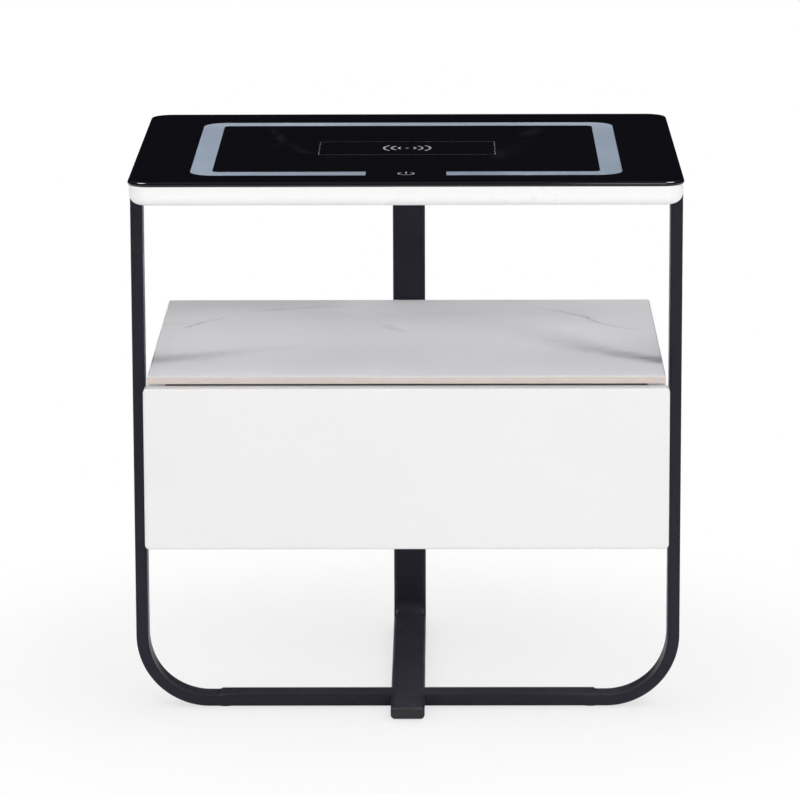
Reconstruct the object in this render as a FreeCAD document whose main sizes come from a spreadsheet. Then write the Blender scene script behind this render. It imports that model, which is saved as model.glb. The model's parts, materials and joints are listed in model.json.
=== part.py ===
import FreeCAD, Part

import math
import os
import re

import Sketcher

# Driving dimensions in millimetres, counts and shares. Every alias is a cell of the sheet "Sizes".
SIZES = {
    # whole stand
    "frame_width": 497,
    "stand_depth": 404,
    "stand_height": 500.5,
    # glass top and its housing
    "glass_inset": 2,
    "glass_thickness": 4,
    "glass_corner": 20,
    "glass_arris": 2,
    "housing_inset": 1,
    "housing_height": 18,
    "housing_edge": 10,
    "housing_floor": 4,
    "pocket_side_rim": 44,
    "pocket_front_rim": 30,
    "pocket_rear_rim": 46,
    "pocket_corner": 12,
    # light band
    "band_width": 19.5,
    "band_side_margin": 53.5,
    "band_front_margin": 39.5,
    "band_rear_margin": 56,
    "band_corner": 22,
    "band_inner_corner": 6,
    "band_gap": 72,
    "guide_thickness": 3,
    "guide_ledge": 2,
    "guide_play": 0.1,
    "channel_wall": 2,
    "channel_floor": 1.5,
    "strip_width": 8,
    "strip_thickness": 0.4,
    "led_side": 3.5,
    "led_height": 1.2,
    "leds_per_side": 9,
    "leds_per_rear_run": 13,
    "leds_per_front_run": 5,
    # charging, touch and control parts
    "charge_forward": 8,
    "coil_diameter": 50,
    "coil_bore": 20,
    "coil_thickness": 1.2,
    "ferrite_side": 56,
    "ferrite_thickness": 1,
    "ferrite_play": 0.3,
    "holder_side": 66,
    "holder_corner": 5,
    "touch_setback": 49,
    "touch_side": 24,
    "touch_thickness": 1,
    "pillar_side": 20,
    "pillar_corner": 3,
    "board_side_gap": 20,
    "board_rear_gap": 44.5,
    "board_length": 80,
    "board_width": 50,
    "board_gauge": 1.6,
    "board_rise": 5,
    "board_hole_inset": 5,
    "post_diameter": 6,
    "post_peg": 3,
    "peg_reach": 1,
    "chip_length": 14,
    "chip_width": 10,
    "chip_height": 3,
    "ribbon_width": 6,
    "ribbon_thickness": 0.8,
    "ribbon_overlap": 6,
    "ribbon_turn_setback": 90,
    "socket_side_gap": 60,
    "socket_rear_gap": 19.5,
    "socket_barrel": 11.5,
    "socket_depth": 10,
    "socket_flange": 16,
    "socket_flange_thickness": 1.5,
    "socket_bore": 5.6,
    "socket_bore_depth": 9,
    "socket_pin": 2,
    "socket_nut": 17,
    "socket_nut_height": 2.5,
    # frame
    "frame_setback": 79,
    "tube_face": 11,
    "tube_depth": 26,
    "tube_wall": 1.5,
    "tube_edge": 1.2,
    "bend_radius": 67,
    "leg_inset": 13,
    "leg_width": 31,
    "leg_edge": 4,
    "leg_bend": 14,
    "stub_reach": 46.5,
    "cap_thickness": 3,
    "cap_corner": 2.5,
    "cap_tongue": 14,
    "cap_play": 0.2,
    "plate_thickness": 3,
    "side_plate_length": 52,
    "rear_plate_length": 40,
    "plate_screw_inset": 9,
    "plate_screw_pitch": 18,
    "rear_screw_inset": 23,
    "pad_thickness": 1,
    "pad_diameter": 20,
    "pad_end_margin": 14,
    "rear_pad_margin": 24,
    # case and slab
    "spacer_length": 6,
    "spacer_diameter": 16,
    "side_thickness": 16,
    "board_thickness": 12,
    "case_height": 137,
    "case_top_setback": 20,
    "slab_height": 323.5,
    "slab_thickness": 7,
    "slab_setback": 14,
    "slab_rear_gap": 1,
    "slab_corner": 2,
    "slab_arris": 2,
    # drawer
    "front_setback": 1,
    "front_thickness": 16,
    "front_side_gap": 3,
    "front_gap": 2,
    "front_lip": 12,
    "front_corner": 4,
    "front_edge": 2.5,
    "bumper_thickness": 1,
    "bumper_play": 0.2,
    "bumper_diameter": 8,
    "bumper_inset": 22,
    "box_wall": 12,
    "box_clearance_below": 10,
    "box_clearance_above": 7,
    "box_rear_gap": 31,
    "base_thickness": 5,
    "base_rise": 8,
    "groove_depth": 5,
    "groove_play": 0.2,
    # ball slides
    "slide_thickness": 13,
    "slide_height": 35,
    "slide_inset": 4,
    "slide_rear_inset": 15,
    "rail_wall": 1.2,
    "outer_lip": 8,
    "middle_lip": 10.5,
    "outer_web_gap": 1.6,
    "inner_web_gap": 1.2,
    "cage_wall": 0.6,
    "cage_strip": 1,
    "cage_length": 100,
    "ball_diameter": 3,
    "ball_play": 0.1,
    "cage_play": 0.15,
    "balls_per_strip": 5,
    # fasteners
    "bolt_diameter": 6,
    "bolt_head": 11,
    "bolt_head_height": 3.5,
    "bolt_socket": 4,
    "bolt_socket_depth": 2,
    "bolt_height_inset": 22,
    "nut_diameter": 9,
    "nut_bulge": 11.5,
    "nut_bulge_length": 3,
    "nut_length": 8.5,
    "nut_clear_end": 0.5,
    "screw_diameter": 4,
    "screw_head": 8,
    "screw_head_height": 2.5,
    "screw_bite": 10,
    "rail_screw_diameter": 3.5,
    "rail_screw_head": 6,
    "rail_screw_bite": 9,
    "front_screw_offset": 120,
    "front_screw_inset": 26,
    "dowel_diameter": 6,
    "dowel_end_depth": 16,
    "dowel_side_depth": 8,
    "hole_play": 0.1,
    "cut_overrun": 2,
}

# Shares along the length that each row of fasteners follows.
RAIL_SCREW_SHARES = (0.1, 0.5, 0.9)
CASE_DOWEL_SHARES = (0.2, 0.8)
BOX_DOWEL_SHARES = (0.28, 0.76)

SIDES = ("left", "right")

# Places worked out from the sheet, as formulas. X runs to the right, Y to the back, Z up from the floor.
HALF_FRAME = "(frame_width / 2)"
FRAME_INNER = "(frame_width / 2 - tube_face)"
HALF_GLASS = "(frame_width / 2 - glass_inset)"
HALF_HOUSING = f"({HALF_GLASS} - housing_inset)"
HALF_LEG = "(leg_width / 2)"
FRONT = "(-stand_depth / 2)"
REAR = "(stand_depth / 2)"
GLASS_UNDER = "(stand_height - glass_thickness)"
HOUSING_UNDER = f"({GLASS_UNDER} - housing_height)"
HOUSING_FRONT = f"({FRONT} + housing_inset)"
HOUSING_REAR = f"({REAR} - housing_inset)"
POCKET_FLOOR = f"({HOUSING_UNDER} + housing_floor)"
PLATE_UNDER = f"({HOUSING_UNDER} - plate_thickness)"
RAIL_TOP = "(pad_thickness + tube_face)"
FRAME_FRONT = f"({FRONT} + frame_setback)"
FRAME_REAR = f"({FRAME_FRONT} + tube_depth)"
FRAME_MIDDLE = f"({FRAME_FRONT} + tube_depth / 2)"
LEG_REAR = f"({REAR} - leg_inset)"
LEG_FRONT = f"({LEG_REAR} - tube_face)"
STUB_END = f"({FRAME_FRONT} - stub_reach + cap_thickness)"
HALF_CASE = f"({FRAME_INNER} - spacer_length)"
CASE_INNER = f"({HALF_CASE} - side_thickness)"
FRONT_FACE = f"({FRONT} + front_setback)"
FRONT_BACK = f"({FRONT_FACE} + front_thickness)"
CASE_FRONT = f"({FRONT_BACK} + bumper_thickness + bumper_play)"
BACK_FRONT = f"({LEG_FRONT} - board_thickness)"
SLAB_UNDER = "(slab_height - slab_thickness)"
CASE_UNDER = f"({SLAB_UNDER} - case_height)"
CASE_FLOOR = f"({CASE_UNDER} + board_thickness)"
CASE_CEILING = f"({SLAB_UNDER} - board_thickness)"
BOX_FOOT = f"({CASE_FLOOR} + box_clearance_below)"
BOX_TOP = f"({CASE_CEILING} - box_clearance_above)"
BOX_REAR = f"({BACK_FRONT} - box_rear_gap)"
HALF_BOX = f"({CASE_INNER} - slide_thickness)"
BOX_INNER = f"({HALF_BOX} - box_wall)"
SLIDE_MIDDLE = f"(({BOX_FOOT} + {BOX_TOP}) / 2)"
SLIDE_FRONT = f"({CASE_FRONT} + slide_inset)"
SLIDE_REAR = f"({BOX_REAR} - slide_rear_inset)"
BAND_OUT = f"({HALF_GLASS} - band_side_margin)"
BAND_FRONT = f"({FRONT} + band_front_margin)"
BAND_REAR = f"({REAR} - band_rear_margin)"
CHANNEL_SIDE = f"({BAND_OUT} - band_width - channel_wall)"
CHANNEL_REAR = f"({BAND_REAR} - band_width - channel_wall)"

doc = FreeCAD.newDocument("smart_nightstand")
sheet = doc.addObject("Spreadsheet::Sheet", "Sizes")
for row, (alias, value) in enumerate(SIZES.items(), start=1):
    sheet.set(f"A{row}", alias)
    sheet.set(f"B{row}", str(value))
    sheet.setAlias(f"B{row}", alias)
doc.recompute()

nodes = {}


def bind(piece, prop, formula):
    """Binds a property to the sheet. Words of the formula that are aliases stand for their cells."""
    words = re.sub(r"[a-z_]+", lambda word: f"Sizes.{word[0]}" if word[0] in SIZES else word[0], formula)
    piece.setExpression(prop, words)


def count(alias):
    """A whole number from the sheet."""
    return int(sheet.get(alias))


def node(name, piece):
    """Gives a finished piece its own name, under which it is written."""
    piece.Label = name
    nodes[name] = piece


def both(half):
    """A span that lies half to each side of the middle."""
    return f"-({half})", half


def about(middle, size):
    """A span of a size about its middle."""
    return f"({middle}) - ({size}) / 2", f"({middle}) + ({size}) / 2"


def handed(side, low, high):
    """A span as it lies on the right, or its mirror image on the left."""
    return (low, high) if side == "right" else (f"-({high})", f"-({low})")


def mirrored(side, place):
    """A place as it lies on the right, or its mirror image on the left."""
    return place if side == "right" else f"-({place})"


def box(name, spans):
    """A block over three spans, along X, Y and Z."""
    piece = doc.addObject("Part::Box", name)
    for length, axis, (low, high) in zip(("Length", "Width", "Height"), "xyz", spans):
        bind(piece, length, f"({high}) - ({low})")
        bind(piece, f"Placement.Base.{axis}", low)
    return piece


# Turns that lay a shape built along Z along another axis.
TURNS = {
    "x": FreeCAD.Rotation(FreeCAD.Vector(0, 1, 0), 90),
    "y": FreeCAD.Rotation(FreeCAD.Vector(1, 0, 0), -90),
    "z": FreeCAD.Rotation(),
}


def lay(piece, axis, spot, start):
    """Lays a round piece along an axis: spot holds its two other places, in the order X, Y, Z."""
    piece.Placement = FreeCAD.Placement(FreeCAD.Vector(), TURNS[axis])
    places = dict(zip([letter for letter in "xyz" if letter != axis], spot))
    places[axis] = start
    for letter, place in places.items():
        bind(piece, f"Placement.Base.{letter}", place)


def rod(name, axis, spot, span, diameter):
    """A round bar along an axis over a span."""
    piece = doc.addObject("Part::Cylinder", name)
    lay(piece, axis, spot, span[0])
    bind(piece, "Radius", f"({diameter}) / 2")
    bind(piece, "Height", f"({span[1]}) - ({span[0]})")
    return piece


def cone(name, axis, spot, span, start_diameter, end_diameter):
    """A tapered round bar along an axis over a span."""
    piece = doc.addObject("Part::Cone", name)
    lay(piece, axis, spot, span[0])
    bind(piece, "Radius1", f"({start_diameter}) / 2")
    bind(piece, "Radius2", f"({end_diameter}) / 2")
    bind(piece, "Height", f"({span[1]}) - ({span[0]})")
    return piece


def hexagon(name, axis, spot, span, across):
    """A six-sided bar along an axis over a span."""
    piece = doc.addObject("Part::Prism", name)
    lay(piece, axis, spot, span[0])
    piece.Polygon = 6
    bind(piece, "Circumradius", f"({across}) / sqrt(3)")
    bind(piece, "Height", f"({span[1]}) - ({span[0]})")
    return piece


def group(name, pieces):
    """Separate solids kept together."""
    piece = doc.addObject("Part::Compound", name)
    piece.Links = pieces
    return piece


def fuse(name, pieces):
    """Several solids made one."""
    piece = doc.addObject("Part::MultiFuse", name)
    piece.Shapes = pieces
    piece.Refine = True
    return piece


def cut(name, base, tools):
    """A solid less several others."""
    piece = doc.addObject("Part::Cut", name)
    piece.Base = base
    piece.Tool = group(f"{name}_tools", tools)
    return piece


def block(name, spans):
    """A block over three spans as a body, so that its edges can be rounded."""
    body = doc.addObject("PartDesign::Body", name)
    feature = body.newObject("PartDesign::AdditiveBox", f"{name}_block")
    for length, axis, (low, high) in zip(("Length", "Width", "Height"), "xyz", spans):
        bind(feature, length, f"({high}) - ({low})")
        bind(body, f"Placement.Base.{axis}", low)
    return body


def body_of(name, piece):
    """A body that starts from a finished solid."""
    body = doc.addObject("PartDesign::Body", name)
    body.BaseFeature = piece
    return body


def round_edges(body, radius, chosen):
    """Rounds the edges of a body that the test picks by their own box and the body's box."""
    doc.recompute()
    base = body.Tip
    whole = base.Shape.BoundBox
    picked = [
        f"Edge{number}"
        for number, edge in enumerate(base.Shape.Edges, start=1)
        if chosen(edge.BoundBox, whole)
    ]
    feature = body.newObject("PartDesign::Fillet", f"{body.Name}_round")
    feature.Base = (base, picked)
    bind(feature, "Radius", radius)
    return body


def same(first, second):
    """Two lengths that agree within the modelling tolerance."""
    return math.isclose(first, second, abs_tol=1e-6)


def upright(edge, whole):
    return same(edge.ZLength, whole.ZLength)


def lengthwise(edge, whole):
    return same(edge.YLength, whole.YLength)


def on_top(edge, whole):
    return same(edge.ZMin, whole.ZMax)


def on_bottom(edge, whole):
    return same(edge.ZMax, whole.ZMin)


def on_front(edge, whole):
    return same(edge.YMax, whole.YMin)


def rounded_block(name, spans, radius):
    """A block with its four upright edges rounded."""
    return round_edges(block(name, spans), radius, upright)


def profile(name, corners, span):
    """A bar along Y over a span, with a section drawn in X and Z by its corners."""
    body = doc.addObject("PartDesign::Body", name)
    drawing = body.newObject("Sketcher::SketchObject", f"{name}_section")
    plane = next(feature for feature in body.Origin.OriginFeatures if feature.Role == "XZ_Plane")
    drawing.AttachmentSupport = (plane, [""])
    drawing.MapMode = "FlatFace"
    sides = len(corners)
    turn = 2 * math.pi / sides
    start = [FreeCAD.Vector(math.cos(turn * i), math.sin(turn * i), 0) for i in range(sides)]
    for i in range(sides):
        drawing.addGeometry(Part.LineSegment(start[i], start[(i + 1) % sides]), False)
    for i in range(sides):
        drawing.addConstraint(Sketcher.Constraint("Coincident", i, 2, (i + 1) % sides, 1))
    for i, corner in enumerate(corners):
        for kind, place, first in zip(("DistanceX", "DistanceY"), corner, start[i]):
            number = drawing.addConstraint(Sketcher.Constraint(kind, -1, 1, i, 1, first))
            bind(drawing, f"Constraints[{number}]", place)
    pad = body.newObject("PartDesign::Pad", f"{name}_pad")
    pad.Profile = drawing
    bind(pad, "Length", f"({span[1]}) - ({span[0]})")
    bind(body, "Placement.Base.y", span[1])
    return body


def beyond(span):
    """A span carried past both its ends, for a cut."""
    return f"({span[0]}) - cut_overrun", f"({span[1]}) + cut_overrun"


def loose(diameter):
    """The hole for a round bar."""
    return f"({diameter} + 2 * hole_play)"


def share_of(span, share):
    """A place along a span."""
    return f"({span[0]} + (({span[1]}) - ({span[0]})) * {share})"


# Top: glass, housing and what lies in the housing's pocket


def plate_screw_spots():
    """Where the frame's plates are screwed up into the housing, as X and Y."""
    spots = []
    for side in SIDES:
        first = f"({HALF_FRAME} - side_plate_length + plate_screw_inset)"
        for place in (first, f"({first} + plate_screw_pitch)"):
            spots.append((mirrored(side, place), FRAME_MIDDLE))
    for place in both("plate_screw_pitch / 2"):
        spots.append((place, f"({LEG_REAR} - rear_screw_inset)"))
    return spots


def make_glass():
    spans = both(HALF_GLASS), (FRONT, REAR), (GLASS_UNDER, "stand_height")
    glass = rounded_block("glass_sheet", spans, "glass_corner")
    node("top_glass", round_edges(glass, "glass_arris", on_top))


def make_housing():
    spans = both(HALF_HOUSING), (HOUSING_FRONT, HOUSING_REAR), (HOUSING_UNDER, GLASS_UNDER)
    shell = rounded_block("housing_shell", spans, "(glass_corner - housing_inset)")
    round_edges(shell, "housing_edge", on_bottom)
    pocket = rounded_block(
        "housing_pocket",
        (
            both(f"({HALF_HOUSING} - pocket_side_rim)"),
            (f"({HOUSING_FRONT} + pocket_front_rim)", f"({HOUSING_REAR} - pocket_rear_rim)"),
            (POCKET_FLOOR, f"({GLASS_UNDER} + cut_overrun)"),
        ),
        "pocket_corner",
    )
    bores = [
        rod("plate_screw_bore", "z", spot, (HOUSING_UNDER, f"({HOUSING_UNDER} + screw_bite + hole_play)"),
            loose("screw_diameter"))
        for spot in plate_screw_spots()
    ]
    bores.append(
        rod("socket_hole", "z", SOCKET_SPOT, beyond((HOUSING_UNDER, POCKET_FLOOR)), loose("socket_barrel"))
    )
    node("top_housing", cut("housing", shell, [pocket, *bores]))


def ring(name, grow, span):
    """The light band's open ring, grown to all sides, over a span of heights."""
    depth = f"({BAND_FRONT} - ({grow}))", f"({BAND_REAR} + ({grow}))"
    outer_width = both(f"({BAND_OUT} + ({grow}))")
    outer = rounded_block(f"{name}_outer", (outer_width, depth, span), f"band_corner + ({grow})")
    inner_depth = f"({BAND_FRONT} + band_width + ({grow}))", f"({BAND_REAR} - band_width - ({grow}))"
    inner = rounded_block(
        f"{name}_inner",
        (both(f"({BAND_OUT} - band_width - ({grow}))"), inner_depth, beyond(span)),
        f"band_inner_corner - ({grow})",
    )
    run = f"({BAND_FRONT} - ({grow}))", f"({BAND_FRONT} + band_width + ({grow}))"
    opening = box(f"{name}_gap", (both(f"(band_gap / 2 - ({grow}))"), beyond(run), beyond(span)))
    return cut(name, outer, [inner, opening])


def led_spots():
    """Where the lamps stand on the strip, as X and Y."""
    middle = f"({BAND_OUT} - band_width / 2)"
    front = f"({BAND_FRONT} + band_width / 2)"
    rear = f"({BAND_REAR} - band_width / 2)"
    spots = []
    side_run = f"{BAND_FRONT} + band_corner", f"{BAND_REAR} - band_corner"
    rear_run = both(f"({BAND_OUT} - band_corner)")
    front_run = "band_gap / 2 + led_side", f"{BAND_OUT} - band_corner"
    for i in range(count("leds_per_side")):
        place = share_of(side_run, (i + 0.5) / count("leds_per_side"))
        spots += [(mirrored(side, middle), place) for side in SIDES]
    for i in range(count("leds_per_rear_run")):
        spots.append((share_of(rear_run, (i + 0.5) / count("leds_per_rear_run")), rear))
    for i in range(count("leds_per_front_run")):
        place = share_of(front_run, (i + 0.5) / count("leds_per_front_run"))
        spots += [(mirrored(side, place), front) for side in SIDES]
    return spots


def make_light_band():
    guide_under = f"({GLASS_UNDER} - guide_thickness)"
    groove_floor = f"({POCKET_FLOOR} + channel_floor)"
    strip_top = f"({groove_floor} + strip_thickness)"
    open_top = f"({GLASS_UNDER} + cut_overrun)"
    node("light_guide", ring("guide", "0", (guide_under, GLASS_UNDER)))
    trough = ring("trough", "channel_wall", (POCKET_FLOOR, GLASS_UNDER))
    rebate = ring("rebate", "guide_play", (guide_under, open_top))
    groove = ring("groove", "-guide_ledge", (groove_floor, open_top))
    node("led_channel", cut("channel", trough, [rebate, groove]))
    strip_grow = "-(band_width - strip_width) / 2"
    node("led_strip", ring("strip", strip_grow, (groove_floor, strip_top)))
    lamps = [
        box("led", (about(x, "led_side"), about(y, "led_side"), (strip_top, f"({strip_top} + led_height)")))
        for x, y in led_spots()
    ]
    node("leds", group("lamps", lamps))


CHARGE_MIDDLE = "(-charge_forward)"
COIL_UNDER = f"({GLASS_UNDER} - coil_thickness)"
FERRITE_UNDER = f"({COIL_UNDER} - ferrite_thickness)"


def make_charger():
    spans = about("0", "holder_side"), about(CHARGE_MIDDLE, "holder_side"), (POCKET_FLOOR, GLASS_UNDER)
    holder = rounded_block("holder_block", spans, "holder_corner")
    recess_side = "(ferrite_side + 2 * ferrite_play)"
    recess_height = FERRITE_UNDER, f"({GLASS_UNDER} + cut_overrun)"
    recess = box("holder_recess", (about("0", recess_side), about(CHARGE_MIDDLE, recess_side), recess_height))
    node("coil_holder", cut("holder", holder, [recess]))
    sheet_width = about("0", "ferrite_side")
    sheet_depth = about(CHARGE_MIDDLE, "ferrite_side")
    node("ferrite_sheet", box("ferrite", (sheet_width, sheet_depth, (FERRITE_UNDER, COIL_UNDER))))
    centre = "0", CHARGE_MIDDLE
    coil = rod("coil_disc", "z", centre, (COIL_UNDER, GLASS_UNDER), "coil_diameter")
    eye = rod("coil_eye", "z", centre, beyond((COIL_UNDER, GLASS_UNDER)), "coil_bore")
    node("charging_coil", cut("coil", coil, [eye]))


TOUCH_MIDDLE = f"({FRONT} + touch_setback)"
TOUCH_UNDER = f"({GLASS_UNDER} - touch_thickness)"


def make_touch_key():
    pad_spans = about("0", "touch_side"), about(TOUCH_MIDDLE, "touch_side"), (TOUCH_UNDER, GLASS_UNDER)
    node("touch_sensor", box("touch_pad", pad_spans))
    spans = about("0", "pillar_side"), about(TOUCH_MIDDLE, "pillar_side"), (POCKET_FLOOR, TOUCH_UNDER)
    node("touch_pillar", rounded_block("pillar", spans, "pillar_corner"))


BOARD_RIGHT = f"({CHANNEL_SIDE} - board_side_gap)"
BOARD_X = (f"({BOARD_RIGHT} - board_length)", BOARD_RIGHT)
BOARD_REAR = f"({CHANNEL_REAR} - board_rear_gap)"
BOARD_Y = (f"({BOARD_REAR} - board_width)", BOARD_REAR)
BOARD_UNDER = f"({POCKET_FLOOR} + board_rise)"
BOARD_TOP = f"({BOARD_UNDER} + board_gauge)"
CHIP_SHARES = ((0.3, 0.35), (0.66, 0.35), (0.5, 0.72))
COIL_LEAD_SHARE = 0.7
KEY_LEAD_SHARE = 0.5
LAMP_LEAD_SHARE = 0.5


def make_control_board():
    spots = [
        (x, y)
        for x in (f"({BOARD_X[0]} + board_hole_inset)", f"({BOARD_X[1]} - board_hole_inset)")
        for y in (f"({BOARD_Y[0]} + board_hole_inset)", f"({BOARD_Y[1]} - board_hole_inset)")
    ]
    levels = BOARD_UNDER, BOARD_TOP
    blank = box("board_blank", (BOARD_X, BOARD_Y, levels))
    holes = [rod("board_hole", "z", spot, beyond(levels), loose("post_peg")) for spot in spots]
    node("control_board", cut("board", blank, holes))
    posts = [
        fuse(
            "board_post",
            [
                rod("post_foot", "z", spot, (POCKET_FLOOR, BOARD_UNDER), "post_diameter"),
                rod("post_end", "z", spot, (BOARD_UNDER, f"({BOARD_TOP} + peg_reach)"), "post_peg"),
            ],
        )
        for spot in spots
    ]
    node("board_posts", group("posts", posts))
    chips = [
        box(
            "chip",
            (
                about(share_of(BOARD_X, along), "chip_length"),
                about(share_of(BOARD_Y, across), "chip_width"),
                (BOARD_TOP, f"({BOARD_TOP} + chip_height)"),
            ),
        )
        for along, across in CHIP_SHARES
    ]
    node("board_chips", group("chips", chips))


SOCKET_SPOT = (f"({CHANNEL_SIDE} - socket_side_gap)", f"({CHANNEL_REAR} - socket_rear_gap)")
SOCKET_TOP = f"({POCKET_FLOOR} + socket_depth)"


def make_power_socket():
    flange_under = f"({HOUSING_UNDER} - socket_flange_thickness)"
    barrel = rod("socket_body", "z", SOCKET_SPOT, (flange_under, SOCKET_TOP), "socket_barrel")
    flange = rod("socket_collar", "z", SOCKET_SPOT, (flange_under, HOUSING_UNDER), "socket_flange")
    bore_span = f"({flange_under} - cut_overrun)", f"({flange_under} + socket_bore_depth)"
    bore = rod("socket_mouth", "z", SOCKET_SPOT, bore_span, "socket_bore")
    pin = rod("socket_contact", "z", SOCKET_SPOT, (flange_under, SOCKET_TOP), "socket_pin")
    hollow = cut("socket_shell", fuse("socket_outside", [barrel, flange]), [bore])
    node("power_socket", fuse("socket", [hollow, pin]))
    nut_span = POCKET_FLOOR, f"({POCKET_FLOOR} + socket_nut_height)"
    nut = hexagon("socket_nut_blank", "z", SOCKET_SPOT, nut_span, "socket_nut")
    thread = rod("socket_nut_thread", "z", SOCKET_SPOT, beyond(nut_span), loose("socket_barrel"))
    node("socket_nut", cut("nut", nut, [thread]))


def make_ribbon_leads():
    """Flat leads on the pocket's floor, from the coil, lamps, socket and touch key to the board."""
    flat = POCKET_FLOOR, f"({POCKET_FLOOR} + ribbon_thickness)"
    holder_rear = f"({CHARGE_MIDDLE} + holder_side / 2)"
    coil_turn = share_of(BOARD_Y, COIL_LEAD_SHARE)
    coil_lead = [
        box("coil_lead_start", (about("0", "ribbon_width"), (holder_rear, coil_turn), flat)),
        box(
            "coil_lead_end",
            (
                ("-ribbon_width / 2", f"({BOARD_X[0]} + ribbon_overlap)"),
                (f"({coil_turn} - ribbon_width)", coil_turn),
                flat,
            ),
        ),
    ]
    lamp_span = f"({BOARD_X[1]} - ribbon_overlap)", CHANNEL_SIDE
    lamp_place = share_of(BOARD_Y, LAMP_LEAD_SHARE)
    lamp_lead = box("lamp_lead", (lamp_span, about(lamp_place, "ribbon_width"), flat))
    socket_lead = box(
        "socket_lead",
        (
            about(SOCKET_SPOT[0], "ribbon_width"),
            (f"({BOARD_Y[1]} - ribbon_overlap)", f"({SOCKET_SPOT[1]} - socket_nut / sqrt(3))"),
            flat,
        ),
    )
    key_rear = f"({TOUCH_MIDDLE} + pillar_side / 2)"
    turn = f"({FRONT} + ribbon_turn_setback)"
    key_end = share_of(BOARD_X, KEY_LEAD_SHARE)
    key_lead = [
        box("key_lead_start", (about("0", "ribbon_width"), (key_rear, f"({turn} + ribbon_width)"), flat)),
        box("key_lead_cross", (("-ribbon_width / 2", key_end), (turn, f"({turn} + ribbon_width)"), flat)),
        box(
            "key_lead_end",
            ((f"({key_end} - ribbon_width)", key_end), (turn, f"({BOARD_Y[0]} + ribbon_overlap)"), flat),
        ),
    ]
    coil_ribbon = fuse("coil_ribbon", coil_lead)
    key_ribbon = fuse("key_ribbon", key_lead)
    node("ribbon_leads", group("ribbons", [coil_ribbon, lamp_lead, socket_lead, key_ribbon]))


# Frame: bent tubes, plates, pads


def quarter(name, axis, spot, span, radius, turn):
    """A quarter disc: turn is added about its own axis."""
    piece = rod(name, axis, spot, span, f"2 * ({radius})")
    piece.Angle = 90
    piece.Placement.Rotation = TURNS[axis] * FreeCAD.Rotation(FreeCAD.Vector(0, 0, 1), turn)
    return piece


def bend(name, axis, spot, span, outer, inner, turn):
    """A quarter of a bent flat tube, as a solid."""
    disc = quarter(f"{name}_disc", axis, spot, span, outer, turn)
    eye = rod(f"{name}_eye", axis, spot, beyond(span), f"2 * ({inner})")
    return cut(name, disc, [eye])


def u_shape(name, wall, top):
    """The frame's U as a solid, drawn in by a wall."""
    depth = f"({FRAME_FRONT} + {wall})", f"({FRAME_REAR} - {wall})"
    centre_x = f"({HALF_FRAME} - bend_radius)"
    centre_z = "(pad_thickness + bend_radius)"
    rail_height = f"pad_thickness + {wall}", f"{RAIL_TOP} - {wall}"
    pieces = [box(f"{name}_rail", (both(centre_x), depth, rail_height))]
    for side, turn in zip(SIDES, (90, 0)):
        across = handed(side, f"({FRAME_INNER} + {wall})", f"({HALF_FRAME} - {wall})")
        pieces.append(box(f"{name}_{side}_upright", (across, depth, (centre_z, top))))
        spot = mirrored(side, centre_x), centre_z
        radii = f"(bend_radius - {wall})", f"(bend_radius - tube_face + {wall})"
        pieces.append(bend(f"{name}_{side}_bend", "y", spot, depth, *radii, turn))
    return fuse(name, pieces)


def bolt_heights():
    """Heights of the bolts between the case and the uprights and rear leg."""
    return f"({CASE_FLOOR} + bolt_height_inset)", f"({CASE_CEILING} - bolt_height_inset)"


def nut_span(face):
    """Where a rivet nut lies, from the face of its tube inwards."""
    return face, f"({face} + nut_length)"


def make_u_frame():
    solid = body_of("u_outside", u_shape("u_outer", "0", PLATE_UNDER))

    def along_tube(edge, whole):
        return same(edge.YLength, 0) and not same(edge.ZMin, whole.ZMax)

    round_edges(solid, "tube_edge", along_tube)
    hollow = u_shape("u_inner", "tube_wall", f"({PLATE_UNDER} + cut_overrun)")
    wall = f"({FRAME_INNER} - cut_overrun)", f"({FRAME_INNER} + tube_wall + cut_overrun)"
    holes = [
        rod("nut_hole", "x", (FRAME_MIDDLE, height), handed(side, *wall), loose("nut_diameter"))
        for side in SIDES
        for height in bolt_heights()
    ]
    node("u_frame", cut("u_tube", solid, [hollow, *holes]))


def leg_shape(name, wall, top, bar_front):
    """The rear leg's L as a solid, drawn in by a wall."""
    across = both(f"({HALF_LEG} - {wall})")
    outer = "(leg_bend + tube_face)"
    centre_y = f"({LEG_REAR} - {outer})"
    centre_z = f"(pad_thickness + {outer})"
    post_depth = f"{LEG_FRONT} + {wall}", f"{LEG_REAR} - {wall}"
    bar_height = f"pad_thickness + {wall}", f"{RAIL_TOP} - {wall}"
    post = box(f"{name}_post", (across, post_depth, (centre_z, top)))
    bar = box(f"{name}_bar", (across, (bar_front, centre_y), bar_height))
    radii = f"({outer} - {wall})", f"(leg_bend + {wall})"
    elbow = bend(f"{name}_elbow", "x", (centre_y, centre_z), across, *radii, 0)
    return fuse(name, [post, bar, elbow])


def along_leg(edge, whole):
    """Edges that run along the leg, not round its two ends."""
    at_ends = same(edge.ZMin, whole.ZMax) or same(edge.YMax, whole.YMin)
    return same(edge.XLength, 0) and not at_ends


def make_rear_leg():
    solid = body_of("leg_outside", leg_shape("leg_outer", "0", PLATE_UNDER, FRAME_REAR))
    round_edges(solid, "leg_edge", along_leg)
    open_ends = f"({PLATE_UNDER} + cut_overrun)", f"({FRAME_REAR} - cut_overrun)"
    inside = leg_shape("leg_inner", "tube_wall", *open_ends)
    hollow = round_edges(body_of("leg_inside", inside), "leg_edge - tube_wall", along_leg)
    wall = f"({LEG_FRONT} - cut_overrun)", f"({LEG_FRONT} + tube_wall + cut_overrun)"
    holes = [
        rod("leg_nut_hole", "y", ("0", height), wall, loose("nut_diameter"))
        for height in bolt_heights()
    ]
    node("rear_leg", cut("leg_tube", solid, [hollow, *holes]))


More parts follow.
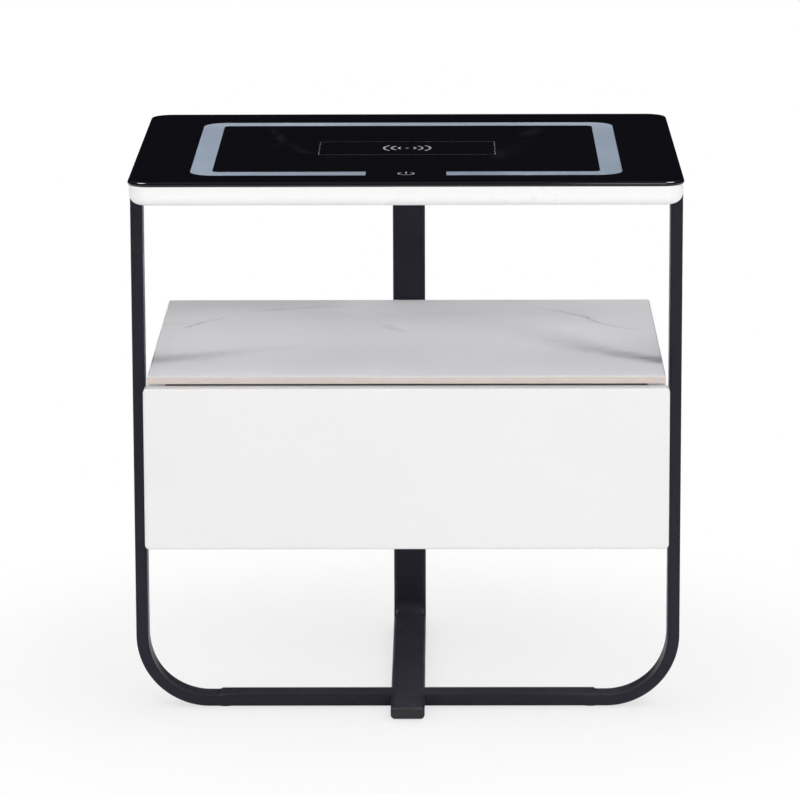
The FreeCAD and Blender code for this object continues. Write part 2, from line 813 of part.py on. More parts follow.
def make_foot_stub():
    outside = block("stub_outside", (both(HALF_LEG), (STUB_END, FRAME_FRONT), ("pad_thickness", RAIL_TOP)))
    round_edges(outside, "leg_edge", lengthwise)
    inner_height = "pad_thickness + tube_wall", f"{RAIL_TOP} - tube_wall"
    inner_width = both(f"({HALF_LEG} - tube_wall)")
    inside = block("stub_inside", (inner_width, beyond((STUB_END, FRAME_FRONT)), inner_height))
    round_edges(inside, "leg_edge - tube_wall", lengthwise)
    node("foot_stub", cut("stub_tube", outside, [inside]))
    cover_depth = f"({STUB_END} - cap_thickness)", STUB_END
    cover = block("cap_cover", (both(HALF_LEG), cover_depth, ("pad_thickness", RAIL_TOP)))
    round_edges(cover, "leg_edge", lengthwise)
    round_edges(cover, "cap_corner", on_front)
    inset = "(tube_wall + cap_play)"
    tongue = block(
        "cap_tongue_block",
        (
            both(f"({HALF_LEG} - {inset})"),
            (STUB_END, f"({STUB_END} + cap_tongue)"),
            (f"(pad_thickness + {inset})", f"({RAIL_TOP} - {inset})"),
        ),
    )
    round_edges(tongue, f"leg_edge - {inset}", lengthwise)
    node("stub_end_cap", fuse("end_cap", [cover, tongue]))


def make_top_plates():
    levels = PLATE_UNDER, HOUSING_UNDER
    spots = plate_screw_spots()
    plates = {
        f"{side}_top_plate": (
            handed(side, f"({HALF_FRAME} - side_plate_length)", HALF_FRAME),
            (FRAME_FRONT, FRAME_REAR),
            levels,
        )
        for side in SIDES
    }
    plates["rear_top_plate"] = both(HALF_LEG), (f"({LEG_REAR} - rear_plate_length)", LEG_REAR), levels
    for i, (name, spans) in enumerate(plates.items()):
        holes = [
            rod("plate_hole", "z", spot, beyond(levels), loose("screw_diameter"))
            for spot in spots[2 * i : 2 * i + 2]
        ]
        node(name, cut(f"{name}_drilled", box(f"{name}_blank", spans), holes))
    head = f"({PLATE_UNDER} - screw_head_height)", PLATE_UNDER
    tip = f"({HOUSING_UNDER} + screw_bite)"
    screws = [
        fuse(
            "plate_screw",
            [
                rod("plate_screw_head", "z", spot, head, "screw_head"),
                rod("plate_screw_shank", "z", spot, (PLATE_UNDER, tip), "screw_diameter"),
            ],
        )
        for spot in spots
    ]
    node("top_plate_screws", group("plate_screws", screws))


def make_floor_pads():
    rail_end = f"({HALF_FRAME} - bend_radius - pad_end_margin)"
    spots = [(place, FRAME_MIDDLE) for place in both(rail_end)]
    spots.append(("0", f"({STUB_END} + pad_end_margin)"))
    spots.append(("0", f"({LEG_FRONT} - leg_bend - rear_pad_margin)"))
    pads = [rod("floor_pad", "z", spot, ("0", "pad_thickness"), "pad_diameter") for spot in spots]
    node("floor_pads", group("pads", pads))


# Case: boards, slab and what fastens them to the frame


def case_dowels():
    """Places and spans of the dowels between the side panels and the boards."""
    boards = (CASE_FRONT, BACK_FRONT)
    heights = (CASE_UNDER, SLAB_UNDER)
    places = [
        (share_of(boards, share), f"({level} + board_thickness / 2)")
        for share in CASE_DOWEL_SHARES
        for level in (CASE_UNDER, CASE_CEILING)
    ]
    back_middle = f"({BACK_FRONT} + board_thickness / 2)"
    places += [(back_middle, share_of(heights, share)) for share in CASE_DOWEL_SHARES]
    span = f"({CASE_INNER} - dowel_end_depth)", f"({CASE_INNER} + dowel_side_depth)"
    return [(place, handed(side, *span)) for side in SIDES for place in places]


def dowel_hole(place, span):
    """The hole for a dowel along X, a little longer than the dowel."""
    length = f"{span[0]} - hole_play", f"{span[1]} + hole_play"
    return rod("dowel_hole", "x", place, length, loose("dowel_diameter"))


def case_dowel_holes():
    """Fresh cutters for the dowels of the case."""
    return [dowel_hole(place, span) for place, span in case_dowels()]


def rail_screw_places():
    """Places of the slides' screws along the slides."""
    return [share_of((SLIDE_FRONT, SLIDE_REAR), share) for share in RAIL_SCREW_SHARES]


def make_case():
    full_depth = CASE_FRONT, LEG_FRONT
    full_height = CASE_UNDER, SLAB_UNDER
    for side in SIDES:
        panel = box(f"{side}_panel", (handed(side, CASE_INNER, HALF_CASE), full_depth, full_height))
        through = handed(side, *beyond((CASE_INNER, HALF_CASE)))
        holes = [
            rod("side_bolt_hole", "x", (FRAME_MIDDLE, height), through, loose("bolt_diameter"))
            for height in bolt_heights()
        ]
        pilot = handed(side, CASE_INNER, f"({CASE_INNER} + rail_screw_bite + hole_play)")
        holes += [
            rod("rail_pilot", "x", (place, SLIDE_MIDDLE), pilot, loose("rail_screw_diameter"))
            for place in rail_screw_places()
        ]
        node(f"case_{side}_side", cut(f"{side}_panel_drilled", panel, [*holes, *case_dowel_holes()]))
    between = both(CASE_INNER)
    boards = {
        "case_top": ((f"({CASE_FRONT} + case_top_setback)", BACK_FRONT), (CASE_CEILING, SLAB_UNDER)),
        "case_bottom": ((CASE_FRONT, BACK_FRONT), (CASE_UNDER, CASE_FLOOR)),
        "case_back": ((BACK_FRONT, LEG_FRONT), full_height),
    }
    for name, (depth, height) in boards.items():
        holes = case_dowel_holes()
        if name == "case_back":
            holes += [
                rod("rear_bolt_hole", "y", ("0", level), beyond(depth), loose("bolt_diameter"))
                for level in bolt_heights()
            ]
        node(name, cut(f"{name}_drilled", box(f"{name}_blank", (between, depth, height)), holes))
    dowels = [rod("case_dowel", "x", place, span, "dowel_diameter") for place, span in case_dowels()]
    node("case_dowels", group("dowels", dowels))


def make_slab():
    depth = f"({FRONT} + slab_setback)", f"({LEG_FRONT} - slab_rear_gap)"
    slab = rounded_block("slab", (both(HALF_CASE), depth, (SLAB_UNDER, "slab_height")), "slab_corner")
    node("marble_slab", round_edges(slab, "slab_arris", on_top))


def bolt(name, axis, spot, head, shank, socket):
    """A low-head bolt with a hexagon socket: each span is given from low to high."""
    wide = rod(f"{name}_head", axis, spot, head, "bolt_head")
    slim = rod(f"{name}_shank", axis, spot, shank, "bolt_diameter")
    drive = hexagon(f"{name}_socket", axis, spot, socket, "bolt_socket")
    return cut(name, fuse(f"{name}_body", [wide, slim]), [drive])


def rivet_nut(name, axis, spot, body, bulge):
    """A rivet nut set in a tube's wall."""
    barrel = rod(f"{name}_barrel", axis, spot, body, "nut_diameter")
    collar = rod(f"{name}_bulge", axis, spot, bulge, "nut_bulge")
    thread = rod(f"{name}_thread", axis, spot, beyond(body), loose("bolt_diameter"))
    return cut(name, fuse(f"{name}_body", [barrel, collar]), [thread])


def make_case_fasteners():
    spacers = []
    side_bolts = []
    nuts = []
    gap = HALF_CASE, FRAME_INNER
    head = f"({CASE_INNER} - bolt_head_height)", CASE_INNER
    shank = CASE_INNER, f"({FRAME_INNER} + nut_length - nut_clear_end)"
    socket = f"({head[0]} - cut_overrun)", f"({head[0]} + bolt_socket_depth)"
    nut = nut_span(FRAME_INNER)
    bulge = f"({FRAME_INNER} + tube_wall)", f"({FRAME_INNER} + tube_wall + nut_bulge_length)"
    for side in SIDES:
        for height in bolt_heights():
            spot = FRAME_MIDDLE, height
            sleeve = rod("spacer_sleeve", "x", spot, handed(side, *gap), "spacer_diameter")
            eye = rod("spacer_eye", "x", spot, handed(side, *beyond(gap)), loose("bolt_diameter"))
            spacers.append(cut("spacer", sleeve, [eye]))
            spans = [handed(side, *span) for span in (head, shank, socket)]
            side_bolts.append(bolt("side_bolt", "x", spot, *spans))
            nuts.append(rivet_nut("side_nut", "x", spot, handed(side, *nut), handed(side, *bulge)))
    rear_head = f"({BACK_FRONT} - bolt_head_height)", BACK_FRONT
    rear_shank = BACK_FRONT, f"({LEG_FRONT} + nut_length - nut_clear_end)"
    rear_socket = f"({rear_head[0]} - cut_overrun)", f"({rear_head[0]} + bolt_socket_depth)"
    rear_bulge = f"({LEG_FRONT} + tube_wall)", f"({LEG_FRONT} + tube_wall + nut_bulge_length)"
    rear_bolts = []
    for height in bolt_heights():
        spot = "0", height
        rear_bolts.append(bolt("rear_bolt", "y", spot, rear_head, rear_shank, rear_socket))
        nuts.append(rivet_nut("rear_nut", "y", spot, nut_span(LEG_FRONT), rear_bulge))
    node("side_spacers", group("spacers", spacers))
    node("side_bolts", group("bolts_of_sides", side_bolts))
    node("rear_bolts", group("bolts_of_back", rear_bolts))
    node("rivet_nuts", group("nuts", nuts))
    bumper_span = f"({CASE_FRONT} - bumper_thickness)", CASE_FRONT
    levels = f"({CASE_UNDER} + bumper_inset)", f"({SLAB_UNDER} - bumper_inset)"
    panel_middle = f"({HALF_CASE} - side_thickness / 2)"
    bumpers = [
        rod("bumper", "y", (mirrored(side, panel_middle), level), bumper_span, "bumper_diameter")
        for side in SIDES
        for level in levels
    ]
    node("drawer_bumpers", group("bumpers", bumpers))


# Ball slides


OUTER_HALF = "(slide_height / 2)"
OUTER_TRACK = f"({OUTER_HALF} - rail_wall)"
BALL_ROOM = "(ball_diameter + 2 * ball_play)"
MIDDLE_HALF = f"({OUTER_TRACK} - {BALL_ROOM})"
MIDDLE_TRACK = f"({MIDDLE_HALF} - rail_wall)"
INNER_HALF = f"({MIDDLE_TRACK} - {BALL_ROOM})"
INNER_TRACK = f"({INNER_HALF} - rail_wall)"
MIDDLE_WEB = "(rail_wall + outer_web_gap)"
MIDDLE_WEB_END = f"({MIDDLE_WEB} + rail_wall)"
INNER_LIP = f"({MIDDLE_WEB_END} + inner_web_gap)"
CAGE_MIDDLE = f"(({SLIDE_FRONT} + {SLIDE_REAR}) / 2)"


def channel_bar(name, side, web, lip, outer, inner, span):
    """A channel along the drawer: web and lip lie from the case's side, outer and inner are half heights."""
    heights = f"({SLIDE_MIDDLE} - {outer})", f"({SLIDE_MIDDLE} - {inner})"
    upper = f"({SLIDE_MIDDLE} + {inner})", f"({SLIDE_MIDDLE} + {outer})"
    back, face, tip = [mirrored(side, f"({CASE_INNER} - {reach})") for reach in (*web, lip)]
    corners = [
        (back, heights[0]),
        (tip, heights[0]),
        (tip, heights[1]),
        (face, heights[1]),
        (face, upper[0]),
        (tip, upper[0]),
        (tip, upper[1]),
        (back, upper[1]),
    ]
    return profile(name, corners, span)


def countersunk(name, side, place, low, high, tip, wide_end):
    """A countersunk screw along X: the head lies from low to high on the right, widest at the named end."""
    spot = place, SLIDE_MIDDLE
    head_span = handed(side, low, high)
    diameters = ("rail_screw_head", "rail_screw_diameter")
    if (wide_end == "low") != (side == "right"):
        diameters = diameters[::-1]
    head = cone(f"{name}_head", "x", spot, head_span, *diameters)
    shank_span = handed(side, high, tip) if wide_end == "low" else handed(side, tip, low)
    return fuse(name, [head, rod(f"{name}_shank", "x", spot, shank_span, "rail_screw_diameter")])


def countersink(name, side, place, low, high, wide_end):
    """The hole for a countersunk head in a rail's web."""
    spot = place, SLIDE_MIDDLE
    diameters = [loose("rail_screw_head"), loose("rail_screw_diameter")]
    if (wide_end == "low") != (side == "right"):
        diameters = diameters[::-1]
    return cone(name, "x", spot, handed(side, low, high), *diameters)


def make_slides():
    length = SLIDE_FRONT, SLIDE_REAR
    cabinet_screws = []
    drawer_screws = []
    web_low = f"({CASE_INNER} - rail_wall)"
    box_face = f"({HALF_BOX} + rail_wall)"
    case_tip = f"({CASE_INNER} + rail_screw_bite)"
    box_tip = f"({HALF_BOX} - rail_screw_bite)"
    for side in SIDES:
        outer = channel_bar(
            f"{side}_outer_rail", side, ("0", "rail_wall"), "outer_lip", OUTER_HALF, OUTER_TRACK, length
        )
        sinks = [
            countersink("outer_sink", side, place, web_low, CASE_INNER, "low")
            for place in rail_screw_places()
        ]
        node(f"{side}_cabinet_rail", cut(f"{side}_outer_rail_drilled", outer, sinks))
        cabinet_screws += [
            countersunk("cabinet_screw", side, place, web_low, CASE_INNER, case_tip, "low")
            for place in rail_screw_places()
        ]
        web = MIDDLE_WEB, MIDDLE_WEB_END
        middle = channel_bar(f"{side}_middle", side, web, "middle_lip", MIDDLE_HALF, MIDDLE_TRACK, length)
        node(f"{side}_middle_rail", middle)
        inner = channel_bar(
            f"{side}_inner_rail",
            side,
            ("slide_thickness", "(slide_thickness - rail_wall)"),
            INNER_LIP,
            INNER_HALF,
            INNER_TRACK,
            length,
        )
        sinks = [
            countersink("inner_sink", side, place, HALF_BOX, box_face, "high")
            for place in rail_screw_places()
        ]
        node(f"{side}_drawer_rail", cut(f"{side}_inner_rail_drilled", inner, sinks))
        drawer_screws += [
            countersunk("drawer_screw", side, place, HALF_BOX, box_face, box_tip, "high")
            for place in rail_screw_places()
        ]
    node("cabinet_rail_screws", group("cabinet_screws", cabinet_screws))
    node("drawer_rail_screws", group("drawer_screws", drawer_screws))


def ball_places():
    """Places of the balls along a cage."""
    span = about(CAGE_MIDDLE, "cage_length")
    balls = count("balls_per_strip")
    return [share_of(span, (i + 0.5) / balls) for i in range(balls)]


def make_ball_cages(name, gap_start, gap, lip, track, reach):
    """Both cages of one row and their balls: track is the balls' half height, reach lies from the case."""
    cages = []
    balls = []
    web_start = f"({gap_start} + ({gap} - cage_wall) / 2)"
    web = web_start, f"({web_start} + cage_wall)"
    halves = f"({track} + cage_strip / 2)", f"({track} - cage_strip / 2)"
    for side in SIDES:
        bar = channel_bar(f"{side}_{name}_cage", side, web, lip, *halves, about(CAGE_MIDDLE, "cage_length"))
        holes = []
        x = mirrored(side, f"({CASE_INNER} - {reach})")
        for place in ball_places():
            for level in (f"({SLIDE_MIDDLE} - {track})", f"({SLIDE_MIDDLE} + {track})"):
                span = beyond(about(level, "cage_strip"))
                holes.append(rod("ball_hole", "z", (x, place), span, "ball_diameter + 2 * cage_play"))
                ball = doc.addObject("Part::Sphere", "ball")
                bind(ball, "Radius", "ball_diameter / 2")
                for letter, where in zip("xyz", (x, place, level)):
                    bind(ball, f"Placement.Base.{letter}", where)
                balls.append(ball)
        cages.append(cut(f"{side}_{name}_cage_drilled", bar, holes))
    node(f"{name}_ball_cages", group(f"{name}_cages", cages))
    node(f"{name}_balls", group(f"{name}_ball_set", balls))


# Drawer


def box_dowels():
    """Places and spans of the dowels between the drawer's sides and its two ends."""
    heights = BOX_FOOT, BOX_TOP
    ends = f"({FRONT_BACK} + box_wall / 2)", f"({BOX_REAR} - box_wall / 2)"
    span = f"({BOX_INNER} - dowel_end_depth)", f"({BOX_INNER} + dowel_side_depth)"
    return [
        ((end, share_of(heights, share)), handed(side, *span))
        for side in SIDES
        for end in ends
        for share in BOX_DOWEL_SHARES
    ]


def box_dowel_holes():
    """Fresh cutters for the dowels of the drawer."""
    return [dowel_hole(place, span) for place, span in box_dowels()]


def front_screw_spots():
    """Places of the screws that hold the drawer front, as X and Z."""
    levels = f"({BOX_FOOT} + front_screw_inset)", f"({BOX_TOP} - front_screw_inset)"
    return [(x, level) for x in both("front_screw_offset") for level in levels]


def make_drawer():
    levels = BOX_FOOT, BOX_TOP
    base_low = f"({BOX_FOOT} + base_rise)"
    base_high = f"({base_low} + base_thickness)"
    inner_front = f"({FRONT_BACK} + box_wall)"
    inner_rear = f"({BOX_REAR} - box_wall)"
    groove_reach = "(groove_depth - groove_play)"

    def groove():
        return box(
            "base_groove",
            (
                both(f"({BOX_INNER} + groove_depth)"),
                (f"({inner_front} - groove_depth)", f"({inner_rear} + groove_depth)"),
                (f"({base_low} - groove_play)", f"({base_high} + groove_play)"),
            ),
        )

    screw_bore = loose("screw_diameter")
    for side in SIDES:
        wall = box(f"{side}_wall", (handed(side, BOX_INNER, HALF_BOX), (FRONT_BACK, BOX_REAR), levels))
        pilot = handed(side, f"({HALF_BOX} - rail_screw_bite - hole_play)", HALF_BOX)
        holes = [
            rod("drawer_pilot", "x", (place, SLIDE_MIDDLE), pilot, loose("rail_screw_diameter"))
            for place in rail_screw_places()
        ]
        node(f"drawer_{side}_side", cut(f"{side}_wall_cut", wall, [groove(), *holes, *box_dowel_holes()]))
    ends = {"drawer_box_front": (FRONT_BACK, inner_front), "drawer_back": (inner_rear, BOX_REAR)}
    for name, depth in ends.items():
        tools = [groove(), *box_dowel_holes()]
        if name == "drawer_box_front":
            tools += [
                rod("front_screw_hole", "y", spot, beyond(depth), screw_bore)
                for spot in front_screw_spots()
            ]
        node(name, cut(f"{name}_cut", box(f"{name}_blank", (both(BOX_INNER), depth, levels)), tools))
    node(
        "drawer_bottom",
        box(
            "drawer_base",
            (
                both(f"({BOX_INNER} + {groove_reach})"),
                (f"({inner_front} - {groove_reach})", f"({inner_rear} + {groove_reach})"),
                (f"({base_low} - groove_play)", f"({base_high} - groove_play)"),
            ),
        ),
    )
    dowels = [rod("drawer_dowel", "x", place, span, "dowel_diameter") for place, span in box_dowels()]
    node("drawer_dowels", group("drawer_dowel_set", dowels))
    bite = f"({FRONT_BACK} - screw_bite)", inner_front
    head = inner_front, f"({inner_front} + screw_head_height)"
    screws = [
        fuse(
            "front_screw",
            [
                rod("front_screw_head", "y", spot, head, "screw_head"),
                rod("front_screw_shank", "y", spot, bite, "screw_diameter"),
            ],
        )
        for spot in front_screw_spots()
    ]
    node("drawer_front_screws", group("front_screws", screws))
    face = block(
        "front_board",
        (
            both(f"({FRAME_INNER} - front_side_gap)"),
            (FRONT_FACE, FRONT_BACK),
            (f"({CASE_UNDER} - front_lip)", f"({SLAB_UNDER} - front_gap)"),
        ),
    )
    round_edges(face, "front_corner", lengthwise)
    round_edges(face, "front_edge", on_front)
    pilot_span = f"({bite[0]} - hole_play)", f"({FRONT_BACK} + cut_overrun)"
    pilots = [rod("front_pilot", "y", spot, pilot_span, screw_bore) for spot in front_screw_spots()]
    node("drawer_front", cut("front_drilled", face, pilots))


def find_faults():
    """Names of the objects that failed and of the nodes without a sound shape."""
    faults = [piece.Name for piece in doc.Objects if {"Invalid", "Error"} & set(piece.State)]
    faults += [name for name, piece in nodes.items() if piece.Shape.isNull() or not piece.Shape.isValid()]
    return faults


def write_nodes():
    """Writes each node's solids under its own name."""
    os.makedirs("parts", exist_ok=True)
    for name, piece in nodes.items():
        piece.Shape.exportStep(os.path.join("parts", f"{name}.step"))


make_glass()
make_housing()
make_light_band()
make_charger()
make_touch_key()
make_control_board()
make_power_socket()
make_ribbon_leads()
make_u_frame()
make_rear_leg()
make_foot_stub()
make_top_plates()
make_floor_pads()
make_case()
make_slab()
make_case_fasteners()
make_slides()
make_ball_cages(
    "outer", "rail_wall", "outer_web_gap", "outer_lip", f"(({OUTER_TRACK} + {MIDDLE_HALF}) / 2)",
    f"(({MIDDLE_WEB_END} + outer_lip) / 2)",
)
make_ball_cages(
    "inner", MIDDLE_WEB_END, "inner_web_gap", "middle_lip", f"(({MIDDLE_TRACK} + {INNER_HALF}) / 2)",
    f"(({INNER_LIP} + middle_lip) / 2)",
)
make_drawer()
doc.recompute()

faults = find_faults()
if faults:
    raise RuntimeError(f"not sound: {faults}")
write_nodes()
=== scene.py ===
import json
import math

import bmesh
import bpy
from mathutils import Matrix, Vector
from mathutils.geometry import delaunay_2d_cdt


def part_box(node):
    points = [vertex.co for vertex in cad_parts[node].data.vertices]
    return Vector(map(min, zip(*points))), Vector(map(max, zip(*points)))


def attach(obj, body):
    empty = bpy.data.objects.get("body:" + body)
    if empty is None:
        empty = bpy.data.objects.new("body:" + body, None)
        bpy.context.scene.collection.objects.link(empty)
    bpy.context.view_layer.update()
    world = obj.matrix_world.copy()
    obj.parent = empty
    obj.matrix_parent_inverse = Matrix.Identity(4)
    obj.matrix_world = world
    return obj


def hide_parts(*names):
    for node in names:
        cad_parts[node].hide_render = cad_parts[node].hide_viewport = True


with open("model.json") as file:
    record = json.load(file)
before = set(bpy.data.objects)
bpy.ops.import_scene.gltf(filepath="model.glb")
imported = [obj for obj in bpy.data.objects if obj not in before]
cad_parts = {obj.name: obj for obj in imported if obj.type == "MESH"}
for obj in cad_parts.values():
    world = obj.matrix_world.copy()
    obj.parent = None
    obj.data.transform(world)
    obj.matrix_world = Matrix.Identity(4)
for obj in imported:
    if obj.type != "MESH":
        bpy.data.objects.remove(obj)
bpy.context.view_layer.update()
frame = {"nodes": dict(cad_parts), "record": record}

nodes = frame["nodes"]

# Lengths are in metres. X runs to the right, Y to the back, Z up from the floor.
MM = 0.001

# Glass top and what is printed under it
GLASS_CORNER = 20 * MM
GLASS_ARRIS = 2 * MM
GLASS_LOWER_ARRIS = 0.8 * MM
BAND_WIDTH = 19.5 * MM
BAND_CORNER = 22 * MM
BAND_INNER_CORNER = 6 * MM
BAND_GAP = 72 * MM
CHARGE_FORWARD = 8 * MM
CHARGE_OUTLINE = (162 * MM, 77 * MM)
CHARGE_OUTLINE_CORNER = 3 * MM
CHARGE_LINE = 1.0 * MM
# Each arc of the charging mark: reach from the middle, half chord, depth of the curve and line width
CHARGE_ARCS = (
    (22.4 * MM, 15.5 * MM, 5.4 * MM, 2.0 * MM),
    (15.2 * MM, 12.0 * MM, 4.4 * MM, 2.0 * MM),
    (8.6 * MM, 6.5 * MM, 2.0 * MM, 1.9 * MM),
)
# Half of the bolt's outline; the other half is the same, turned about its middle
CHARGE_BOLT_HALF = ((1.4 * MM, 5.2 * MM), (-2.6 * MM, -0.6 * MM), (-0.3 * MM, -0.6 * MM))
TOUCH_SETBACK = 49 * MM
TOUCH_RADIUS = 7.8 * MM
TOUCH_LINE = 1.5 * MM
TOUCH_HALF_OPENING = 36  # degrees
TOUCH_BAR = 9 * MM
# Finishes of the glass sheet, by the number of the face's material
GLASS_FINISHES = ("black_glass", "frosted_band", "white_print", "faint_print", "outline_print")

# Bent tube of the U-frame; its inner wall is sunk at the bends and for a short run past them
TUBE_FACE = 11 * MM
TUBE_EDGE = 1.2 * MM
BEND_RADIUS = 67 * MM
SUNK_FULL_TURN = 50  # degrees of the bend
SUNK_RUN = 8 * MM
SUNK_RAMP = 3 * MM
SUNK_EDGE = 1.2 * MM
SUNK_MIDDLE = 1.2 * MM

# Steps and tolerances of the meshes
CORNER_STEPS = 10
ARRIS_STEPS = 6
BEND_STEPS = 36
WALL_STEPS = 12
RAMP_STEPS = 4
INSIDE_PLANS = 1  # the cut keeps only what lies inside its plans
CUT_TOLERANCE = 1e-7
SAME_POINT = 1e-6
FLAT_FROM = 0.999  # upward part of a level face's normal
SHARP_TURN = 50  # degrees between faces of the tube

# Widths of the broken edges of the CAD pieces, by slot
SOFT_EDGES = {
    "white_lacquer": 0.8 * MM,
    "drawer_board": 0.5 * MM,
    "black_screws": 0.3 * MM,
    "zinc_steel": 0.15 * MM,
    "white_plastic": 0.3 * MM,
    "pad_rubber": 0.4 * MM,
    "bumper_rubber": 0.2 * MM,
    "chip_black": 0.2 * MM,
    "circuit_board": 0.1 * MM,
}
PLATES = ("left_top_plate", "right_top_plate", "rear_top_plate", "side_spacers")
PLATE_EDGE = 0.5 * MM
EDGE_STEPS = 2
EDGE_TURN = 40  # degrees between faces from which an edge is broken
FLAT_FACE_WEIGHT = 100
ALREADY_ROUND = ("top_housing", "drawer_front")
WITH_POLES = ("marble_slab", "outer_balls", "inner_balls")
OWN_FINISH = {"top_housing": "housing_lacquer"}

# Floor, which shows a share of white near the stand and is all white at the end of its fade, and softbox
FLOOR_DROP = 0.2 * MM
FLOOR_HALF = 3.0
FLOOR_TONES = ((0.90, 0.90, 0.905), (0.93, 0.93, 0.93))
FLOOR_FADE = (0.25, 0.6)
FLOOR_NEAR_WHITE = 0.66
SOFTBOX_PLACE = (0.8, -2.7, 1.6)
SOFTBOX_AIM = (0.0, 0.0, 0.25)
SOFTBOX_SIDE = 0.9
SOFTBOX_WATTS = 16.0

# Light of the room; a span is the part of the direction, along Y or Z, over which the light changes
FRONT_LIGHT = 1.06
BACK_LIGHT = 0.87
FRONT_TO_BACK_SPAN = (-0.3, 0.5)
OVERHEAD_SHARE = 0.75
OVERHEAD_SPAN = (0.5, 0.8)
# The dim room that gloss shows: from the horizon to overhead, what the front adds, and two lamps
ROOM_GLOSS = (0.006, 0.25)
ROOM_GLOSS_SPAN = (0.3, 0.85)
FRONT_GLOSS = 0.03
FRONT_GLOSS_SPAN = (0.15, -0.6)
GLINT_LIGHT = 22.0
GLINT_PLACES = ((-0.46, -0.1, 0.87), (0.46, -0.1, 0.87))
GLINT_SPREAD = (0.3, 0.2)  # radians, from the rim to the full light

# Camera: turns in radians, lens and sensor in millimetres
CAMERA_PLACE = (0.034211, -4.456307, 1.204088)
CAMERA_PITCH = 0.207829
CAMERA_YAW = 0.009354
CAMERA_ROLL = -0.003503
CAMERA_LENS = 220.07
CAMERA_SENSOR = 36.0
CAMERA_FAR = 50.0

WHITE = (1.0, 1.0, 1.0, 1.0)


# Small helpers for node trees


def place(tree, kind, settings=None, **sockets):
    """Adds a node, sets its properties, and sets or links its inputs by name."""
    node = tree.nodes.new(kind)
    for key, value in (settings or {}).items():
        setattr(node, key, value)
    connect(tree, node, **sockets)
    return node


def connect(tree, node, **sockets):
    """Sets or links inputs of a node by name, with an underscore for a space."""
    for name, value in sockets.items():
        feed(tree, node.inputs[name.replace("_", " ")], value)


def feed(tree, socket, value):
    """Links a socket to an output, or sets its plain value."""
    if isinstance(value, bpy.types.NodeSocket):
        tree.links.new(value, socket)
    else:
        socket.default_value = value


def maths(tree, operation, *values, clamp=False):
    """One step of arithmetic on numbers."""
    node = place(tree, "ShaderNodeMath", {"operation": operation, "use_clamp": clamp})
    for socket, value in zip(node.inputs, values):
        feed(tree, socket, value)
    return node.outputs[0]


def shared(tree, first, second, share):
    """A share of the first number and the rest of the second."""
    return maths(tree, "MULTIPLY_ADD", first, share, maths(tree, "MULTIPLY", second, 1 - share))


def vector_maths(tree, operation, *values, output="Vector"):
    """One step of arithmetic on vectors."""
    node = place(tree, "ShaderNodeVectorMath", {"operation": operation})
    for socket, value in zip(node.inputs, values):
        feed(tree, socket, value)
    return node.outputs[output]


def eased(tree, value, start, end, low=0.0, high=1.0):
    """Runs smoothly from low to high while the value goes from start to end."""
    node = place(
        tree, "ShaderNodeMapRange", {"interpolation_type": "SMOOTHSTEP"},
        Value=value, From_Min=start, From_Max=end, To_Min=low, To_Max=high,
    )
    return node.outputs["Result"]


def between(tree, factor, first, second):
    """A colour between two. The sockets go by number, as the node has several of each name."""
    node = place(tree, "ShaderNodeMix", {"data_type": "RGBA"})
    feed(tree, node.inputs[0], factor)
    feed(tree, node.inputs[6], colour_value(first))
    feed(tree, node.inputs[7], colour_value(second))
    return node.outputs[2]


def colour_value(colour):
    """A colour with its alpha, unless it is linked already."""
    return colour if isinstance(colour, bpy.types.NodeSocket) else (*colour[:3], 1.0)


def own_place(tree):
    """The point of the surface, in the object's own frame."""
    return place(tree, "ShaderNodeTexCoord").outputs["Object"]


def axes(tree, vector):
    """The X, Y and Z of a vector."""
    return place(tree, "ShaderNodeSeparateXYZ", None, Vector=vector).outputs


def looking_up(tree):
    """How far the surface looks up: 1 on a level face, 0 on a wall."""
    return axes(tree, place(tree, "ShaderNodeNewGeometry").outputs["Normal"])["Z"]


def noise(tree, vector, scale, detail=3.0, roughness=0.55):
    """Cloudy noise over a place."""
    node = place(
        tree, "ShaderNodeTexNoise", None, Vector=vector, Scale=scale, Detail=detail, Roughness=roughness
    )
    return node.outputs["Fac"]


def warp(tree, spot, scale):
    """A wandering offset about zero."""
    node = place(tree, "ShaderNodeTexNoise", None, Vector=spot, Scale=scale, Detail=4.0, Roughness=0.6)
    return vector_maths(tree, "SUBTRACT", node.outputs["Color"], (0.5, 0.5, 0.5))


# Effects that several finishes share, as node groups

SPECK_FINENESS = 23.0
CLOUD_SPAN = (0.28, 0.72)
WAVE_FINENESS = 0.07
DUST_LOOKING_UP = (0.6, 1.0)
DUST_SPECK_SHARE = 0.6
DUST_COLOUR = (0.42, 0.41, 0.40)


def new_group(name, inputs, output):
    """A node group with named inputs, given with their first values, and one number that it puts out."""
    tree = bpy.data.node_groups.new(name, "ShaderNodeTree")
    for label, first in inputs.items():
        kind = "NodeSocketVector" if isinstance(first, tuple) else "NodeSocketFloat"
        tree.interface.new_socket(label, in_out="INPUT", socket_type=kind).default_value = first
    tree.interface.new_socket(output, in_out="OUTPUT", socket_type="NodeSocketFloat")
    given = tree.nodes.new("NodeGroupInput").outputs
    result = tree.nodes.new("NodeGroupOutput").inputs[output]
    return tree, given, result


def make_cloudy_tone():
    """Slow variation of tone with finer specks on it, from 0 to 1."""
    tree, given, result = new_group("cloudy_tone", {"Scale": 8.0, "Specks": 0.3}, "Tone")
    spot = own_place(tree)
    slow = noise(tree, spot, given["Scale"], detail=4.0)
    fine = noise(tree, spot, maths(tree, "MULTIPLY", given["Scale"], SPECK_FINENESS), detail=2.0)
    specks = maths(tree, "SUBTRACT", fine, 0.5)
    lifted = maths(tree, "MULTIPLY_ADD", specks, given["Specks"], slow)
    feed(tree, result, eased(tree, lifted, *CLOUD_SPAN))
    return tree


